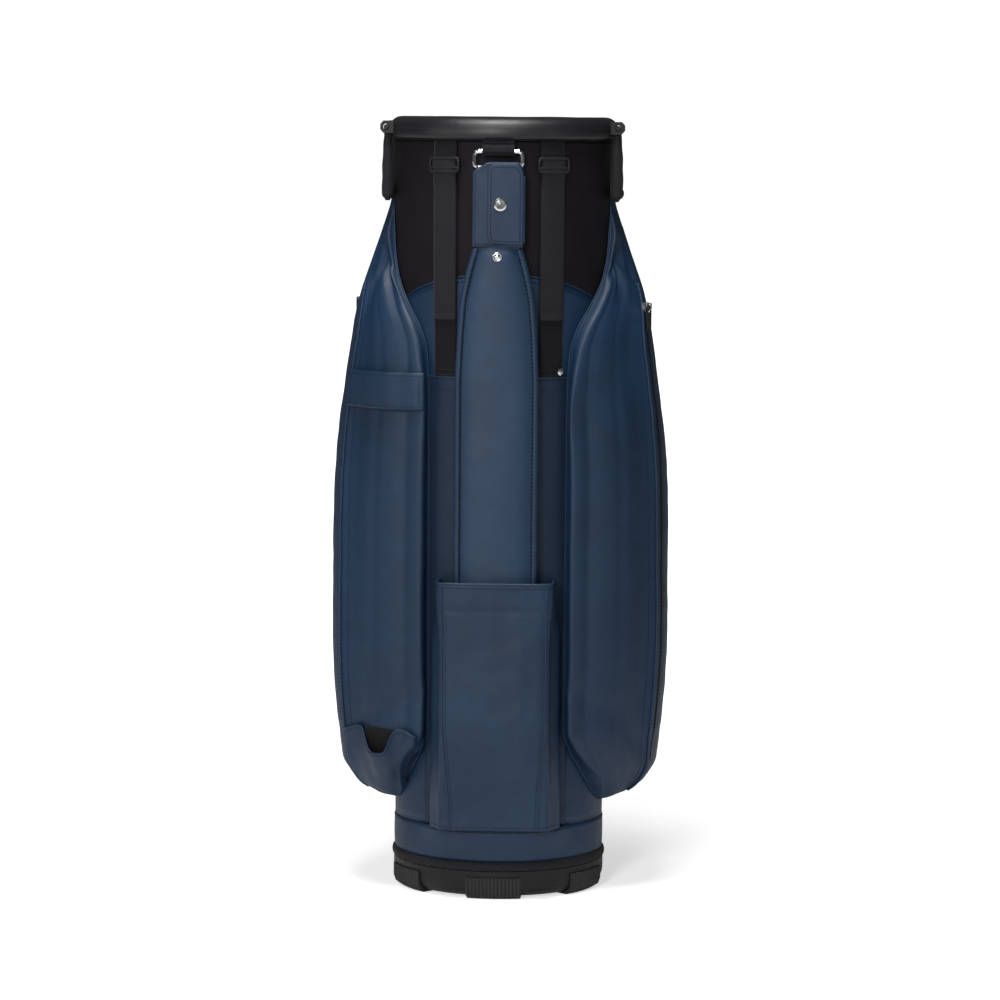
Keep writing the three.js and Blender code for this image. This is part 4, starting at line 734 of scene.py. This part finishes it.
# ------------------------------------------------------------------ long zips of the side pockets: teeth beside the front corner welt
for side, tag in ((-1, "left"), (1, "right")):
    f = POCK[tag]; vz = lambda z: (z - 102) / 687.5; way = 1 if side < 0 else -1
    zz = np.linspace(150, 676, 200); line = [(0.5 + way * min(0.30, 12.4 / ARC(z)) / 2, vz(z)) for z in zz]
    P, N = trace(f, line, -1.9)
    V, F = sweep_arrays(resample(P, 4), 2.7, 8); mesh_object("pocket_%s_zip_tape" % tag, V, F, WEBD)
    P, N = trace(f, line, 0.4); Q, M = resample(P, 1.9, N); V = []; F = []
    for i in range(len(Q) - 1):
        t = (Q[i + 1] - Q[i]); t /= np.linalg.norm(t); s = np.cross(M[i], t); c = Q[i] + s * (0.9 if i % 2 else -0.9); b = len(V)
        for sx in (-0.62, 0.62):
            for sy in (-0.5, 0.5):
                for sz in (-1.5, 1.5): V.append(c + t * sx + M[i] * sy + s * sz)
        F += [tuple(b + k for k in q) for q in ((0, 1, 3, 2), (4, 6, 7, 5), (0, 4, 5, 1), (2, 3, 7, 6), (0, 2, 6, 4), (1, 5, 7, 3))]
    mesh_object("pocket_%s_zip_teeth" % tag, V, F, TEETH, smooth=False)

# ------------------------------------------------------------------ finishes of the CAD nodes that stay
def finish_node(name, mat, bevel=0.0, auto=True):
    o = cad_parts[name]; o.data.materials.clear() if False else None
    for k in range(len(o.material_slots)): o.material_slots[k].material = mat
    if not o.material_slots: o.data.materials.append(mat)
    if bevel:
        b = o.modifiers.new("edge", "BEVEL"); b.width = bevel; b.segments = 3; b.limit_method = "ANGLE"; b.angle_limit = 35 * D; b.harden_normals = False
        w = o.modifiers.new("shade", "WEIGHTED_NORMAL"); w.keep_sharp = False
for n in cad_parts:
    if n.startswith("foot_"): finish_node(n, RUBBER, 0.0008)
    elif n == "base_tray": finish_node(n, PLASTIC, 0.0012)
    elif n == "tube_shell": finish_node(n, BOARD)
    elif n == "divider_ring": finish_node(n, PLASTIC, 0.002)
    elif n.startswith("divider_"): finish_node(n, LINING, 0.0024)
    elif n.startswith("handle_ear"): finish_node(n, PLASTIC, 0.001)
    elif n.startswith("handle_"): finish_node(n, PLASTIC)
    elif n in ("d_ring", "snap_cap", "snap_stud", "wrap_rivet", "panel_rivet", "towel_ring") or n.startswith("zip_slider"): finish_node(n, CHROME, 0.0004)
    elif n.startswith("pull_tab"): finish_node(n, WEB, 0.0004)
    elif n == "towel_tab": finish_node(n, BLACK, 0.0008)

# ------------------------------------------------------------------ floor, light, camera
fm, nt, b = newmat("studio_floor"); v = mapped(nt)
nt.links.new(ramp(nt, noisetex(nt, v, 3, 2), [(0.3, (0.90, 0.90, 0.905)), (0.7, (0.93, 0.93, 0.93))]), b.inputs["Base Color"]); b.inputs["Roughness"].default_value = 0.7
b.inputs["Specular IOR Level"].default_value = 0.2
b.inputs["Emission Color"].default_value = (1, 1, 1, 1)
ln = node(nt, "ShaderNodeVectorMath"); ln.operation = "LENGTH"; nt.links.new(v, ln.inputs[0]); lp = node(nt, "ShaderNodeLightPath")
far = ramp(nt, mathn(nt, "MULTIPLY", ln.outputs["Value"], 0.25), [(0.16, (0, 0, 0)), (0.55, (1, 1, 1))])
seen = mathn(nt, "MULTIPLY", mathn(nt, "ADD", mathn(nt, "MULTIPLY", far, 0.75), 0.52), lp.outputs["Is Camera Ray"])
nt.links.new(mathn(nt, "ADD", seen, 0.08), b.inputs["Emission Strength"])
me = bpy.data.meshes.new("floor"); R = 16.0
V = [(0, 0, 0)] + [(R * math.cos(TAU * k / 96), R * math.sin(TAU * k / 96), 0) for k in range(96)]
me.from_pydata(V, [], [(0, 1 + k, 1 + (k + 1) % 96) for k in range(96)]); me.materials.append(fm)
fl = bpy.data.objects.new("floor", me); scene.collection.objects.link(fl)

w = bpy.data.worlds.new("studio"); scene.world = w; w.use_nodes = True
nt = w.node_tree; bg = nt.nodes["Background"]; bg.inputs[0].default_value = (1, 1, 1, 1)
lp = node(nt, "ShaderNodeLightPath"); nt.links.new(mathn(nt, "ADD", mathn(nt, "MULTIPLY", lp.outputs["Is Camera Ray"], 1.0), 0.055), bg.inputs[1])
def area(name, loc, target, size, power, size_y=None):
    l = bpy.data.lights.new(name, "AREA"); l.energy = power; l.size = size
    if size_y: l.shape = "RECTANGLE"; l.size_y = size_y
    ob = bpy.data.objects.new(name, l); scene.collection.objects.link(ob); ob.location = loc
    ob.rotation_euler = (Vector(target) - Vector(loc)).to_track_quat("-Z", "Y").to_euler()
area("key", (-0.85, -4.1, 1.9), (0, 0, 0.5), 0.75, 92, 1.6)
area("fill", (-3.2, -1.9, 1.4), (0, 0, 0.45), 0.7, 17, 1.6)
area("rim", (3.0, -2.6, 1.2), (0, 0, 0.45), 0.5, 8, 1.6)
area("top", (-0.1, -0.6, 2.5), (0, 0, 0.86), 0.8, 46)

cam = bpy.data.cameras.new("camera"); co = bpy.data.objects.new("camera", cam); scene.collection.objects.link(co); scene.camera = co
AZ, DIST = 2.5 * D, 4.5
co.location = (DIST * math.sin(AZ), -DIST * math.cos(AZ), 0.891)
aim = Vector((0, 0, 0.4425)); q = (aim - co.location).to_track_quat("-Z", "Y")
from mathutils import Quaternion
co.rotation_mode = "QUATERNION"; co.rotation_quaternion = q @ Quaternion((0, 0, 1), 0.45 * D)
cam.lens = 141.6; cam.sensor_width = 36; cam.shift_x = -0.001
scene.view_settings.view_transform = "Standard"; scene.view_settings.look = "None"
